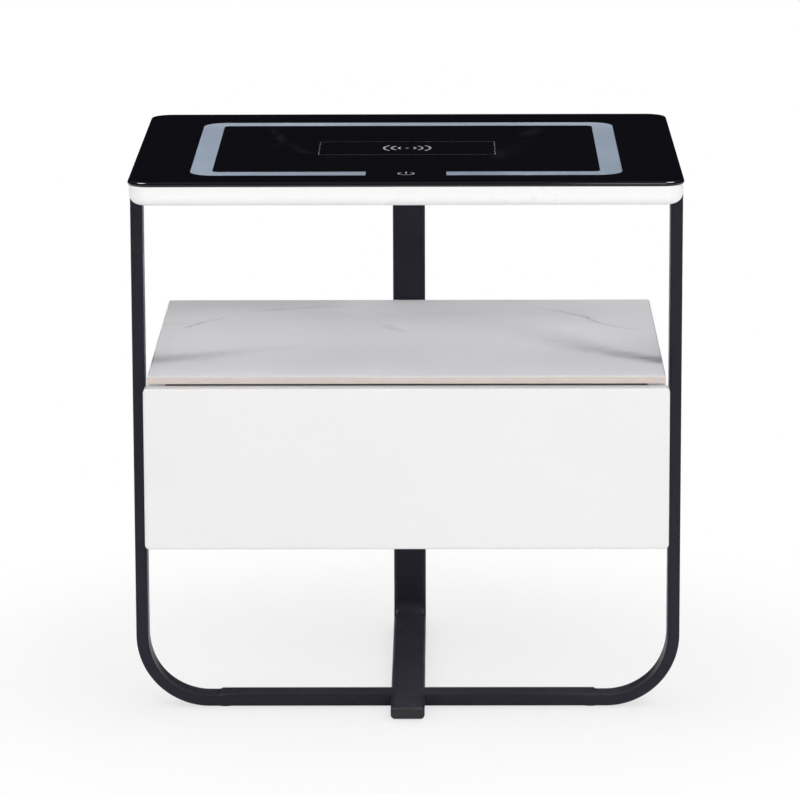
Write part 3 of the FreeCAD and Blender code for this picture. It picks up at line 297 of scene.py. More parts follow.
def make_fine_grain():
    """Height of a pebbled coat or a moulded grain."""
    tree, given, result = new_group("fine_grain", {"Scale": 600.0, "Waviness": 0.4}, "Height")
    spot = own_place(tree)
    pebbles = noise(tree, spot, given["Scale"], detail=2.0)
    waves = noise(tree, spot, maths(tree, "MULTIPLY", given["Scale"], WAVE_FINENESS), detail=1.0)
    feed(tree, result, maths(tree, "MULTIPLY_ADD", waves, given["Waviness"], pebbles))
    return tree


def make_drawn_lines():
    """Lines drawn along Y, as on rolled steel or the print of a board."""
    tree, given, result = new_group("drawn_lines", {"Scale": 900.0, "Stretch": 0.02}, "Lines")
    spot = axes(tree, own_place(tree))
    along = maths(tree, "MULTIPLY", spot["Y"], given["Stretch"])
    drawn = place(tree, "ShaderNodeCombineXYZ", None, X=spot["X"], Y=along, Z=spot["Z"]).outputs[0]
    feed(tree, result, noise(tree, drawn, given["Scale"], detail=4.0, roughness=0.65))
    return tree


def make_settled_dust():
    """Where a little dust lies: faces that look up, in patches."""
    tree, given, result = new_group("settled_dust", {"Amount": 0.1}, "Mask")
    upward = eased(tree, looking_up(tree), *DUST_LOOKING_UP)
    spot = own_place(tree)
    patches = eased(tree, noise(tree, spot, scale=9.0, detail=5.0), start=0.35, end=0.75)
    specks = eased(tree, noise(tree, spot, scale=1400.0, detail=1.0), start=0.5, end=0.75)
    speckled = maths(tree, "MULTIPLY_ADD", specks, DUST_SPECK_SHARE, 1 - DUST_SPECK_SHARE)
    lying = maths(tree, "MULTIPLY", upward, maths(tree, "MULTIPLY", speckled, patches))
    feed(tree, result, maths(tree, "MULTIPLY", lying, given["Amount"]))
    return tree


def make_plan_stroke():
    """One stroke from start to end on a plan, wide and strong as given at its two ends; it draws veins, and
    patches of painted light and painted shade.
    """
    inputs = {
        "Place": (0.0, 0.0, 0.0),
        "Start": (0.0, 0.0, 0.0),
        "End": (1.0, 0.0, 0.0),
        "Start Width": 0.01,
        "End Width": 0.01,
        "Start Strength": 1.0,
        "End Strength": 1.0,
    }
    tree, given, result = new_group("plan_stroke", inputs, "Mask")
    flat = vector_maths(tree, "MULTIPLY", given["Place"], (1.0, 1.0, 0.0))
    run = vector_maths(tree, "SUBTRACT", given["End"], given["Start"])
    offset = vector_maths(tree, "SUBTRACT", flat, given["Start"])
    along = maths(
        tree, "DIVIDE",
        vector_maths(tree, "DOT_PRODUCT", offset, run, output="Value"),
        vector_maths(tree, "DOT_PRODUCT", run, run, output="Value"),
        clamp=True,
    )
    shares = place(tree, "ShaderNodeCombineXYZ", None, X=along, Y=along, Z=along).outputs[0]
    foot = vector_maths(tree, "MULTIPLY", run, shares)
    distance = vector_maths(tree, "DISTANCE", offset, foot, output="Value")
    widening = maths(tree, "SUBTRACT", given["End Width"], given["Start Width"])
    width = maths(tree, "MULTIPLY_ADD", along, widening, given["Start Width"])
    rising = maths(tree, "SUBTRACT", given["End Strength"], given["Start Strength"])
    strength = maths(tree, "MULTIPLY_ADD", along, rising, given["Start Strength"])
    near = eased(tree, maths(tree, "DIVIDE", distance, width), start=1.0, end=0.0)
    feed(tree, result, maths(tree, "MULTIPLY", near, strength))
    return tree


EFFECTS = {
    "cloudy_tone": make_cloudy_tone(),
    "fine_grain": make_fine_grain(),
    "drawn_lines": make_drawn_lines(),
    "settled_dust": make_settled_dust(),
    "plan_stroke": make_plan_stroke(),
}


def effect(tree, name, **sockets):
    """Places a shared effect in a material and gives its output."""
    node = place(tree, "ShaderNodeGroup", {"node_tree": EFFECTS[name]}, **sockets)
    return node.outputs[0]


# Finishes, with linear colours

# Two tones, a range of roughness, scale and strength of the grain, and plain values of the shader
PRINTED = {"rough": (0.25, 0.35), "grain": (1500.0, 0.02)}
COATS = {
    "powder_coat": {
        "dark": (0.0072, 0.0068, 0.0148), "light": (0.0112, 0.0106, 0.0222),
        "rough": (0.34, 0.44), "grain": (1100.0, 0.10), "dust": 0.015,
        "Specular_IOR_Level": 0.3, "Sheen_Weight": 0.05, "Sheen_Roughness": 0.4,
        "Sheen_Tint": (0.9, 0.9, 1.0, 1.0),
    },
    "white_print": {"dark": (0.44, 0.44, 0.48), "light": (0.53, 0.53, 0.57), **PRINTED},
    "faint_print": {"dark": (0.17, 0.17, 0.19), "light": (0.23, 0.23, 0.25), **PRINTED},
    "outline_print": {"dark": (0.095, 0.095, 0.105), "light": (0.115, 0.115, 0.125), **PRINTED},
    "white_lacquer": {
        "dark": (0.79, 0.79, 0.79), "light": (0.805, 0.805, 0.803),
        "rough": (0.28, 0.36), "grain": (420.0, 0.025), "tone_scale": 5.0, "specks": 0.1,
    },
    "housing_lacquer": {
        "dark": (0.852, 0.852, 0.852), "light": (0.866, 0.866, 0.863),
        "rough": (0.26, 0.32), "grain": (420.0, 0.01), "tone_scale": 4.0, "specks": 0.03,
    },
    "black_screws": {
        "dark": (0.016, 0.016, 0.018), "light": (0.035, 0.035, 0.038),
        "rough": (0.3, 0.45), "grain": (1500.0, 0.08), "Metallic": 0.6,
    },
    "black_plastic": {
        "dark": (0.010, 0.010, 0.0135), "light": (0.017, 0.017, 0.021),
        "rough": (0.42, 0.55), "grain": (1400.0, 0.14), "dust": 0.02,
    },
    "pad_rubber": {
        "dark": (0.015, 0.015, 0.015), "light": (0.03, 0.03, 0.03),
        "rough": (0.75, 0.9), "grain": (900.0, 0.2),
    },
    "bumper_rubber": {
        "dark": (0.70, 0.70, 0.68), "light": (0.80, 0.80, 0.78),
        "rough": (0.25, 0.4), "grain": (900.0, 0.05),
    },
    "frosted_acrylic": {
        "dark": (0.62, 0.66, 0.70), "light": (0.72, 0.75, 0.78),
        "rough": (0.4, 0.5), "grain": (1800.0, 0.05),
    },
    "white_plastic": {
        "dark": (0.74, 0.74, 0.72), "light": (0.81, 0.81, 0.79),
        "rough": (0.4, 0.5), "grain": (1400.0, 0.08),
    },
    "led_strip": {
        "dark": (0.62, 0.56, 0.42), "light": (0.76, 0.70, 0.56),
        "rough": (0.35, 0.5), "grain": (900.0, 0.05), "tone_scale": 60.0,
    },
    "led_lens": {
        "dark": (0.72, 0.66, 0.26), "light": (0.88, 0.84, 0.48),
        "rough": (0.15, 0.25), "grain": (900.0, 0.03), "tone_scale": 120.0,
    },
    "ferrite": {
        "dark": (0.045, 0.045, 0.05), "light": (0.085, 0.085, 0.09),
        "rough": (0.55, 0.7), "grain": (1600.0, 0.15),
    },
    "chip_black": {
        "dark": (0.012, 0.012, 0.012), "light": (0.03, 0.03, 0.03),
        "rough": (0.45, 0.6), "grain": (2200.0, 0.12),
    },
    "ribbon_grey": {
        "dark": (0.42, 0.42, 0.43), "light": (0.54, 0.54, 0.55),
        "rough": (0.4, 0.55), "grain": (800.0, 0.08),
    },
}
BOARDS = {
    "drawer_board": {"dark": (0.66, 0.65, 0.63), "light": (0.76, 0.755, 0.74), "rough": (0.42, 0.55)},
    "beech": {"dark": (0.46, 0.29, 0.15), "light": (0.66, 0.46, 0.28), "rough": (0.5, 0.65)},
}
STEELS = {
    "zinc_steel": {"dark": (0.44, 0.45, 0.47), "light": (0.66, 0.67, 0.68), "rough": (0.28, 0.42)},
    "ball_steel": {"dark": (0.60, 0.60, 0.62), "light": (0.78, 0.78, 0.80), "rough": (0.12, 0.22)},
}

GLASS_BLACK = (0.0039, 0.0040, 0.0077)
GLASS_VEIN = (0.03, 0.03, 0.034)
GLASS_VEIN_SWAY = (16 * MM, 30 * MM, 0.0)
BAND_TONES = ((0.353, 0.416, 0.518), (0.313, 0.383, 0.479))
BAND_REAR_TONE = (0.56, 0.622, 0.734)
BAND_REAR_SPAN = (90 * MM, 160 * MM)
SLAB_GROUND = ((0.83, 0.83, 0.86), (0.87, 0.867, 0.895))
# Tone of the painted light on the slab's middle and rear, then the grey of the rear left patch, painted shade
# with some of the stone's own grey
SLAB_PAINTED_LIGHT = (0.97, 0.97, 0.985)
SLAB_GREY_AND_SHADE = (0.55, 0.55, 0.575)
# The grey of the veins, which is also the grey of the painted shade at the slab's front left corner
SLAB_VEIN_AND_SHADE_TONE = (0.26, 0.26, 0.285)
SLAB_VEIN_AND_SHADE_SHARE = 0.55
SLAB_VEIN_AND_SHADE_RIPPLE = (12 * MM, 12 * MM, 0.0)
SLAB_BODY = ((0.58, 0.496, 0.46), (0.64, 0.56, 0.528))
SLAB_BODY_ROUGH = 0.8
SLAB_ARRIS = (0.60, 0.60, 0.61)
# How far a face of the slab looks up where its glaze begins, and where its arris is ground down
SLAB_GLAZED_SPAN = (0.3, 0.45)
SLAB_ARRIS_SPAN = (0.99, 0.9)
WIRE_PITCH = 0.9 * MM
WIRE_TONES = ((0.20, 0.07, 0.03), (0.82, 0.42, 0.24))
SOLDER_RESIST = ((0.012, 0.11, 0.045), (0.03, 0.20, 0.09))
TINNED_PAD = (0.62, 0.62, 0.60)

# Veins on a plan, and one wide patch of painted shade at the front left corner beside the left upright: each
# point is X, Y, half width and strength
SLAB_VEINS_AND_SHADE = (
    (
        (-0.207, 0.042, 0.003, 0.9), (-0.193, 0.066, 0.003, 0.8),
        (-0.179, 0.079, 0.0025, 0.6), (-0.170, 0.092, 0.002, 0.1),
    ),
    ((-0.164, 0.103, 0.003, 0.4), (-0.157, 0.110, 0.002, 0.1)),
    (
        (-0.147, 0.119, 0.009, 0.15), (-0.128, 0.127, 0.010, 0.4),
        (-0.089, 0.139, 0.008, 0.35), (-0.050, 0.146, 0.007, 0.1),
    ),
    ((-0.228, 0.053, 0.006, 0.3), (-0.207, 0.059, 0.003, 0.15)),
    # Painted shade: a wide soft grey patch at the front left corner of the slab, beside the left upright
    (
        (-0.238, -0.120, 0.026, 0.75), (-0.197, -0.100, 0.026, 0.55),
        (-0.150, -0.074, 0.022, 0.25), (-0.100, -0.056, 0.018, 0.05),
    ),
    (
        (0.118, 0.139, 0.004, 0.2), (0.141, 0.116, 0.003, 0.55), (0.168, 0.089, 0.0035, 0.9),
        (0.178, 0.062, 0.003, 0.65), (0.195, 0.040, 0.003, 0.7), (0.216, 0.024, 0.003, 0.4),
    ),
    (
        (0.084, 0.058, 0.05, 0.12), (0.131, -0.008, 0.045, 0.3), (0.160, -0.053, 0.032, 0.5),
        (0.182, -0.080, 0.022, 0.8), (0.207, -0.102, 0.020, 1.15), (0.236, -0.126, 0.022, 1.6),
    ),
    ((-0.019, 0.042, 0.012, 0.4), (-0.007, 0.018, 0.009, 0.25)),
    ((0.092, 0.174, 0.006, 0.4), (0.126, 0.166, 0.004, 0.1)),
)
# Patches on the slab's ground, in the same form: the pale ones are painted light where the top shades the
# middle and the rear of the slab, and the grey one at the rear left is painted shade with some of the stone's
# own grey
SLAB_PAINTED_LIGHT_CLOUDS = (
    ((-0.15, 0.01, 0.12, 0.3), (0.0, 0.02, 0.16, 1.0), (0.16, 0.02, 0.13, 1.0)),
    ((-0.02, 0.15, 0.11, 1.0), (0.11, 0.14, 0.09, 0.4)),
)
SLAB_GREY_AND_SHADE_CLOUDS = (((-0.24, 0.17, 0.10, 0.6), (-0.09, 0.18, 0.06, 0.3)),)
GLASS_VEINS = (
    (
        (-0.128, 0.18, 0.005, 0.5), (-0.127, 0.10, 0.007, 0.9), (-0.115, 0.043, 0.008, 0.9),
        (-0.094, -0.031, 0.009, 0.6), (-0.066, -0.064, 0.010, 0.3),
    ),
    ((-0.115, 0.043, 0.006, 0.9), (-0.119, -0.01, 0.006, 0.4)),
    (
        (0.128, 0.12, 0.010, 0.5), (0.112, 0.07, 0.012, 1.0),
        (0.098, 0.0, 0.014, 0.6), (0.086, -0.06, 0.014, 0.4),
    ),
)

# Every finish that has been made, by name
FINISHES = {}


def new_finish(name, **plain):
    """A material with its shader: plain values are set on the shader's own sockets."""
    material = bpy.data.materials.new(name)
    material.use_nodes = True
    tree = material.node_tree
    shader = tree.nodes["Principled BSDF"]
    connect(tree, shader, **plain)
    FINISHES[name] = material
    return tree, shader


def bump(tree, shader, height, strength, distance=0.1 * MM):
    """Feeds a height to the shader's normal."""
    node = place(tree, "ShaderNodeBump", None, Strength=strength, Distance=distance, Height=height)
    tree.links.new(node.outputs["Normal"], shader.inputs["Normal"])


def coated(name, dark, light, rough, grain, tone_scale=8.0, specks=0.3, dust=0.0, **plain):
    """A coat, moulding or plain material."""
    tree, shader = new_finish(name, **plain)
    tone = effect(tree, "cloudy_tone", Scale=tone_scale, Specks=specks)
    colour = between(tree, tone, dark, light)
    if dust:
        colour = between(tree, effect(tree, "settled_dust", Amount=dust), colour, DUST_COLOUR)
    connect(tree, shader, Base_Color=colour, Roughness=eased(tree, tone, 0.0, 1.0, *rough))
    grain_scale, grain_strength = grain
    bump(tree, shader, effect(tree, "fine_grain", Scale=grain_scale), grain_strength)


def rolled_steel(name, dark, light, rough):
    """Bare or plated steel with lines of the rolling."""
    tree, shader = new_finish(name, Metallic=1.0)
    lines = effect(tree, "drawn_lines", Scale=900.0, Stretch=0.02)
    tone = effect(tree, "cloudy_tone", Scale=14.0, Specks=0.5)
    shade = shared(tree, lines, tone, share=0.6)
    connect(
        tree, shader,
        Base_Color=between(tree, shade, dark, light), Roughness=eased(tree, shade, 0.2, 0.8, *rough),
    )
    bump(tree, shader, lines, strength=0.06, distance=0.05 * MM)


def printed_board(name, dark, light, rough):
    """Faced board or plain wood with a grain along Y."""
    tree, shader = new_finish(name)
    lines = effect(tree, "drawn_lines", Scale=260.0, Stretch=0.05)
    tone = effect(tree, "cloudy_tone", Scale=6.0, Specks=0.2)
    streaks = eased(tree, lines, start=0.3, end=0.7)
    shade = shared(tree, streaks, tone, share=0.7)
    connect(
        tree, shader,
        Base_Color=between(tree, shade, dark, light), Roughness=eased(tree, shade, 0.0, 1.0, *rough),
    )
    bump(tree, shader, lines, strength=0.05)


def strokes(tree, spot, stroke_marks):
    """All strokes of a set of marks, the strongest at each point; the marks are veins, and on the slab also
    patches of painted light and painted shade.
    """
    masks = []
    for stroke_mark in stroke_marks:
        for (x, y, width, strength), (end_x, end_y, end_width, end_strength) in zip(stroke_mark, stroke_mark[1:]):
            masks.append(effect(
                tree, "plan_stroke", Place=spot, Start=(x, y, 0.0), End=(end_x, end_y, 0.0),
                Start_Width=width, End_Width=end_width, Start_Strength=strength, End_Strength=end_strength,
            ))
    whole = masks[0]
    for mask in masks[1:]:
        whole = maths(tree, "MAXIMUM", whole, mask)
    return whole


def black_glass():
    """Printed glass: deep black with a few dim veins and wiping marks."""
    tree, shader = new_finish("black_glass", IOR=1.5)
    spot = own_place(tree)
    sway = vector_maths(tree, "MULTIPLY", warp(tree, spot, 30.0), GLASS_VEIN_SWAY)
    mask = strokes(tree, vector_maths(tree, "ADD", spot, sway), GLASS_VEINS)
    drawn_out = vector_maths(tree, "MULTIPLY", spot, (1.0, 0.25, 1.0))
    patches = eased(tree, noise(tree, drawn_out, scale=40.0, detail=5.0), start=0.4, end=0.72)
    dim = maths(tree, "MULTIPLY", mask, patches)
    marks = effect(tree, "cloudy_tone", Scale=5.0, Specks=0.1)
    connect(
        tree, shader,
        Base_Color=between(tree, dim, GLASS_BLACK, GLASS_VEIN),
        Roughness=eased(tree, marks, 0.0, 1.0, low=0.03, high=0.085),
    )


def frosted_band():
    """The frosted window over the lamps: blue-grey with a faint change of hue, paler along the rear."""
    tree, shader = new_finish("frosted_band", IOR=1.45)
    spot = own_place(tree)
    hue = eased(tree, noise(tree, spot, scale=17.0, detail=1.0), start=0.35, end=0.65)
    cool = between(tree, hue, *BAND_TONES)
    cloud = effect(tree, "cloudy_tone", Scale=4.0, Specks=0.05)
    to_rear = eased(tree, axes(tree, spot)["Y"], *BAND_REAR_SPAN)
    bright = maths(tree, "MULTIPLY_ADD", to_rear, 0.65, maths(tree, "MULTIPLY", cloud, 0.06))
    connect(
        tree, shader,
        Base_Color=between(tree, bright, cool, BAND_REAR_TONE),
        Roughness=eased(tree, cloud, 0.0, 1.0, low=0.3, high=0.42),
    )
    bump(tree, shader, effect(tree, "fine_grain", Scale=2200.0), strength=0.03, distance=0.02 * MM)


def slab_face(tree, spot, cloud):
    """The slab's glazed face: ground clouds, painted light on its middle and rear, painted shade at its front
    left and, with the stone's own grey, at its rear left, and ragged grey veins.
    """
    ripple = vector_maths(tree, "MULTIPLY", warp(tree, spot, 60.0), SLAB_VEIN_AND_SHADE_RIPPLE)
    mask = strokes(tree, vector_maths(tree, "ADD", spot, ripple), SLAB_VEINS_AND_SHADE)
    ragged = eased(tree, noise(tree, spot, scale=90.0, detail=5.0), start=0.25, end=0.6)
    # The mask of the veins also carries the painted shade at the front left corner
    stroke_mark = maths(tree, "MULTIPLY", mask, maths(tree, "MULTIPLY_ADD", ragged, 0.5, 0.5))
    face_tone = between(tree, cloud, *SLAB_GROUND)
    # Painted light: pale patches that lift the shade of the top on the slab's middle and rear
    face_tone = between(tree, strokes(tree, spot, SLAB_PAINTED_LIGHT_CLOUDS), face_tone, SLAB_PAINTED_LIGHT)
    # Grey patch at the rear left: painted shade, with some of the stone's own grey
    face_tone = between(tree, strokes(tree, spot, SLAB_GREY_AND_SHADE_CLOUDS), face_tone, SLAB_GREY_AND_SHADE)
    return between(tree, maths(tree, "MULTIPLY", stroke_mark, SLAB_VEIN_AND_SHADE_SHARE, clamp=True), face_tone, SLAB_VEIN_AND_SHADE_TONE)


def sintered_marble():
    """Pale slab with grey veins, painted light and painted shade on its face, and an unglazed beige edge."""
    tree, shader = new_finish("sintered_marble")
    spot = own_place(tree)
    cloud = effect(tree, "cloudy_tone", Scale=5.0, Specks=0.15)
    body = between(tree, noise(tree, spot, scale=700.0, detail=2.0), *SLAB_BODY)
    upward = looking_up(tree)
    glazed = eased(tree, upward, *SLAB_GLAZED_SPAN)
    ground_down = eased(tree, upward, *SLAB_ARRIS_SPAN)
    glaze = between(tree, ground_down, slab_face(tree, spot, cloud), SLAB_ARRIS)
    polish = eased(tree, cloud, 0.0, 1.0, low=0.36, high=0.46)
    connect(
        tree, shader,
        Base_Color=between(tree, glazed, body, glaze),
        Roughness=eased(tree, glazed, 0.0, 1.0, low=SLAB_BODY_ROUGH, high=polish),
    )
    bump(tree, shader, effect(tree, "fine_grain", Scale=900.0), strength=0.05)


def copper_winding():
    """Lacquered copper wire wound in a flat ring round the charging mark."""
    tree, shader = new_finish("copper_winding", Metallic=1.0)
    spot = own_place(tree)
    from_middle = vector_maths(tree, "ADD", spot, (0.0, CHARGE_FORWARD, 0.0))
    on_plan = vector_maths(tree, "MULTIPLY", from_middle, (1.0, 1.0, 0.0))
    radius = vector_maths(tree, "LENGTH", on_plan, output="Value")
    turns = maths(tree, "SINE", maths(tree, "MULTIPLY", radius, 2 * math.pi / WIRE_PITCH))
    wire = eased(tree, turns, start=-1.0, end=0.6)
    connect(
        tree, shader,
        Base_Color=between(tree, wire, *WIRE_TONES),
        Roughness=eased(tree, noise(tree, spot, scale=200.0), 0.3, 0.7, low=0.25, high=0.4),
    )
    bump(tree, shader, wire, strength=0.5, distance=0.2 * MM)


def circuit_board():
    """Green solder resist with paler tracks and tinned pads."""
    tree, shader = new_finish("circuit_board")
    spot = own_place(tree)
    cells = place(
        tree, "ShaderNodeTexVoronoi", {"feature": "DISTANCE_TO_EDGE"},
        Vector=spot, Scale=170.0, Randomness=0.6,
    )
    tracks = eased(tree, cells.outputs["Distance"], start=0.12, end=0.06)
    dots = place(tree, "ShaderNodeTexVoronoi", None, Vector=spot, Scale=240.0, Randomness=0.35)
    pads = eased(tree, dots.outputs["Distance"], start=0.2, end=0.14)
    resist = between(tree, tracks, *SOLDER_RESIST)
    connect(
        tree, shader,
        Base_Color=between(tree, pads, resist, TINNED_PAD),
        Metallic=pads,
        Roughness=eased(tree, pads, 0.0, 1.0, low=0.45, high=0.3),
    )
    bump(tree, shader, tracks, strength=0.2, distance=0.05 * MM)


def make_finishes():
    """Makes the finishes of the whole stand."""
    for make, table in ((coated, COATS), (printed_board, BOARDS), (rolled_steel, STEELS)):
        for name, values in table.items():
            make(name, **values)
    for make in (black_glass, frosted_band, sintered_marble, copper_winding, circuit_board):
        make()


# Plans, drawn counter-clockwise


def arc(centre, radius, start, end, steps=CORNER_STEPS):
    """Points along an arc, with angles in degrees."""
    turns = [math.radians(start + (end - start) * i / steps) for i in range(steps + 1)]
    return [(centre[0] + radius * math.cos(turn), centre[1] + radius * math.sin(turn)) for turn in turns]


def rounded_rectangle(half_width, low, high, radius):
    """A rectangle about X = 0 from low to high, with rounded corners."""
    x = half_width - radius
    return (
        arc((x, low + radius), radius, -90, 0)
        + arc((x, high - radius), radius, 0, 90)
        + arc((-x, high - radius), radius, 90, 180)
        + arc((-x, low + radius), radius, 180, 270)
    )


def arc_line(centre, radius, start, end, width):
    """A line of a width bent along an arc."""
    return arc(centre, radius + width / 2, start, end) + arc(centre, radius - width / 2, end, start)


def band_plan():
    """The light band: a ring that is open in the middle of its front run."""
    low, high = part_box("light_guide")
    front = low.y + BAND_WIDTH
    outer = rounded_rectangle(high.x, low.y, high.y, BAND_CORNER)
    inner = rounded_rectangle(high.x - BAND_WIDTH, front, high.y - BAND_WIDTH, BAND_INNER_CORNER)
    gap = BAND_GAP / 2
    return [(gap, low.y), *outer, (-gap, low.y), (-gap, front), *inner[::-1], (gap, front)]


def mirrored_plan(plan):
    """A plan turned over to the other side of X = 0."""
    return [(-x, y) for x, y in reversed(plan)]


def charge_arc_plans(middle):
    """The arcs of the charging mark, to both sides of its bolt."""
    plans = []
    for reach, half_chord, depth, width in CHARGE_ARCS:
        radius = (half_chord**2 + depth**2) / (2 * depth)
        opening = math.degrees(math.asin(half_chord / radius))
        right = arc_line((reach - radius, middle), radius - width / 2, -opening, opening, width)
        plans += [right, mirrored_plan(right)]
    return plans


def charge_bolt_plan(middle):
    """The small bolt in the middle of the charging mark."""
    return [(side * x, middle + side * y) for side in (1, -1) for x, y in CHARGE_BOLT_HALF]


def touch_mark_plans(middle):
    """An open ring with a bar in its opening."""
    half = TOUCH_LINE / 2
    start = 90 + TOUCH_HALF_OPENING
    end = 450 - TOUCH_HALF_OPENING
    ring = arc_line((0.0, middle), TOUCH_RADIUS - half, start, end, TOUCH_LINE)
    bar = [(-half, middle), (half, middle), (half, middle + TOUCH_BAR), (-half, middle + TOUCH_BAR)]
    return [ring, bar]


def outline_plans(middle):
    """Outer and inner edge of the charging outline."""
    width, depth = CHARGE_OUTLINE
    plans = []
    for inset in (0.0, CHARGE_LINE):
        half_depth = depth / 2 - inset
        corner = CHARGE_OUTLINE_CORNER - inset
        plans.append(rounded_rectangle(width / 2 - inset, middle - half_depth, middle + half_depth, corner))
    return plans


# Pieces that replace plain CAD shapes


def finish_piece(name, form, finishes, body, slot, *stands_for):
    """Makes a form a piece of the stand that stands for CAD nodes, and gives its mesh."""
    bmesh.ops.recalc_face_normals(form, faces=form.faces)
    mesh = bpy.data.meshes.new(name)
    form.to_mesh(mesh)
    form.free()
    for finish in finishes:
        mesh.materials.append(FINISHES[finish])
    piece = bpy.data.objects.new(name, mesh)
    bpy.context.scene.collection.objects.link(piece)
    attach(piece, body)
    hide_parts(*stands_for)
    return mesh


def join_rings(form, rings):
    """Smooth walls from each ring of points to the next."""
    for first, second in zip(rings, rings[1:]):
        for i in range(len(first)):
            form.faces.new((first[i - 1], second[i - 1], second[i], first[i])).smooth = True


def face_regions(plans):
    """Cuts a face along plans: points, triangles and, for each triangle, the plans it lies in."""
    points = []
    loops = []
    for plan in plans:
        loops.append(list(range(len(points), len(points) + len(plan))))
        points += [Vector(point) for point in plan]
    cut = delaunay_2d_cdt(points, [], loops, INSIDE_PLANS, CUT_TOLERANCE, True)
    cut_points, _, triangles, _, _, inside = cut
    return cut_points, triangles, inside


def glass_levels(low, high):
    """Inset and height of each ring round the glass: the polished arris, the wall and the lower arris."""
    levels = []
    for i in range(ARRIS_STEPS + 1):
        turn = math.pi / 2 * i / ARRIS_STEPS
        levels.append((GLASS_ARRIS * (1 - math.sin(turn)), high - GLASS_ARRIS * (1 - math.cos(turn))))
    return levels + [(0.0, low + GLASS_LOWER_ARRIS), (GLASS_LOWER_ARRIS, low)]


def glass_prints(face, front):
    """The print under the glass: plans with their finishes, where a later plan covers an earlier one."""
    middle = -CHARGE_FORWARD
    outer_line, inner_line = outline_plans(middle)
    prints = [(face, "black_glass"), (band_plan(), "frosted_band")]
    prints += [(outer_line, "outline_print"), (inner_line, "black_glass")]
    prints += [(plan, "white_print") for plan in charge_arc_plans(middle)]
    prints += [(charge_bolt_plan(middle), "faint_print")]
    prints += [(plan, "white_print") for plan in touch_mark_plans(front + TOUCH_SETBACK)]
    return prints


def make_glass_sheet():
    """The glass top: its print, its polished arris and its wall."""
    low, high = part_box("top_glass")
    levels = glass_levels(low.z, high.z)
    edge = []
    for inset, z in levels:
        edge.append(rounded_rectangle(high.x - inset, low.y + inset, high.y - inset, GLASS_CORNER - inset))
    prints = glass_prints(edge[0], low.y)
    points, triangles, inside = face_regions([plan for plan, finish in prints])
    form = bmesh.new()
    top = [form.verts.new((point.x, point.y, high.z)) for point in points]
    for corners, plans in zip(triangles, inside):
        last_print = prints[max(plans)][1]
        form.faces.new([top[i] for i in corners]).material_index = GLASS_FINISHES.index(last_print)
    rings = [[form.verts.new((x, y, z)) for x, y in plan] for plan, (inset, z) in zip(edge, levels)]
    join_rings(form, rings)
    form.faces.new(rings[-1][::-1])
    bmesh.ops.remove_doubles(form, verts=form.verts, dist=CUT_TOLERANCE)
    form.normal_update()
    for line in form.edges:
        line.smooth = not any(abs(face.normal.z) > FLAT_FROM for face in line.link_faces)
    finish_piece("glass_sheet", form, GLASS_FINISHES, "frame", "black_glass", "top_glass")


def tube_section(half_face, half_depth, radius):
    """Section of a flat tube: across its face and along its depth, with points spread over the inner wall."""
    x = half_face - radius
    y = half_depth - radius
    wall = [(half_face, -y + 2 * y * i / WALL_STEPS) for i in range(1, WALL_STEPS)]
    return (
        arc((x, -y), radius, -90, 0, ARRIS_STEPS)
        + wall
        + arc((x, y), radius, 0, 90, ARRIS_STEPS)
        + arc((-x, y), radius, 90, 180, ARRIS_STEPS)
        + arc((-x, -y), radius, 180, 270, ARRIS_STEPS)
    )


def smooth_step(share):
    """Runs from 0 to 1 with level ends."""
    share = min(max(share, 0.0), 1.0)
    return share * share * (3 - 2 * share)


def frame_path(low, high):
    """The middle line of the U: place, inward direction, and how far the inner wall is sunk there."""
    half = high.x - TUBE_FACE / 2
    centre_x = high.x - BEND_RADIUS
    centre_z = low.z + BEND_RADIUS
    radius = BEND_RADIUS - TUBE_FACE / 2
    right = [((half, high.z), (-1.0, 0.0), 0.0)]
    for i in range(BEND_STEPS + 1):
        turn = 90 * i / BEND_STEPS
        out = math.cos(math.radians(-turn)), math.sin(math.radians(-turn))
        spot = centre_x + radius * out[0], centre_z + radius * out[1]
        right.append((spot, (-out[0], -out[1]), smooth_step(turn / SUNK_FULL_TURN)))
    for i in range(RAMP_STEPS + 1):
        share = i / RAMP_STEPS
        run = SUNK_RUN + SUNK_RAMP * share
        right.append(((centre_x - run, low.z + TUBE_FACE / 2), (0.0, 1.0), 1 - smooth_step(share)))
    left = [((-x, z), (-inward[0], inward[1]), sunk) for (x, z), inward, sunk in reversed(right)]
    return right + left


def sunk_reach(across, depth_share, sunk):
    """Where a point of the section goes when the inner wall is sunk; only the innermost quarter moves."""
    hollow = SUNK_EDGE + SUNK_MIDDLE * (1 - depth_share**2)
    quarter = TUBE_FACE / 4
    return across - hollow * sunk * max(0.0, across / quarter - 1)


def make_bent_frame():
    """The U-frame, with the inner wall drawn in at its two bends as bending leaves it."""
    low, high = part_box("u_frame")
    middle_y = (low.y + high.y) / 2
    half_depth = (high.y - low.y) / 2
    section = tube_section(TUBE_FACE / 2, half_depth, TUBE_EDGE)
    form = bmesh.new()
    rings = []
    for (x, z), inward, sunk in frame_path(low, high):
        ring = []
        for across, along in section:
            reach = sunk_reach(across, along / half_depth, sunk)
            ring.append(form.verts.new((x + inward[0] * reach, middle_y + along, z + inward[1] * reach)))
        rings.append(ring)
    join_rings(form, rings)
    for end in (rings[0], rings[-1]):
        form.faces.new(end)
    mesh = finish_piece("bent_frame", form, ("powder_coat",), "frame", "powder_coat", "u_frame")
    mesh.set_sharp_from_angle(angle=math.radians(SHARP_TURN))


# CAD pieces: their finishes and softened edges


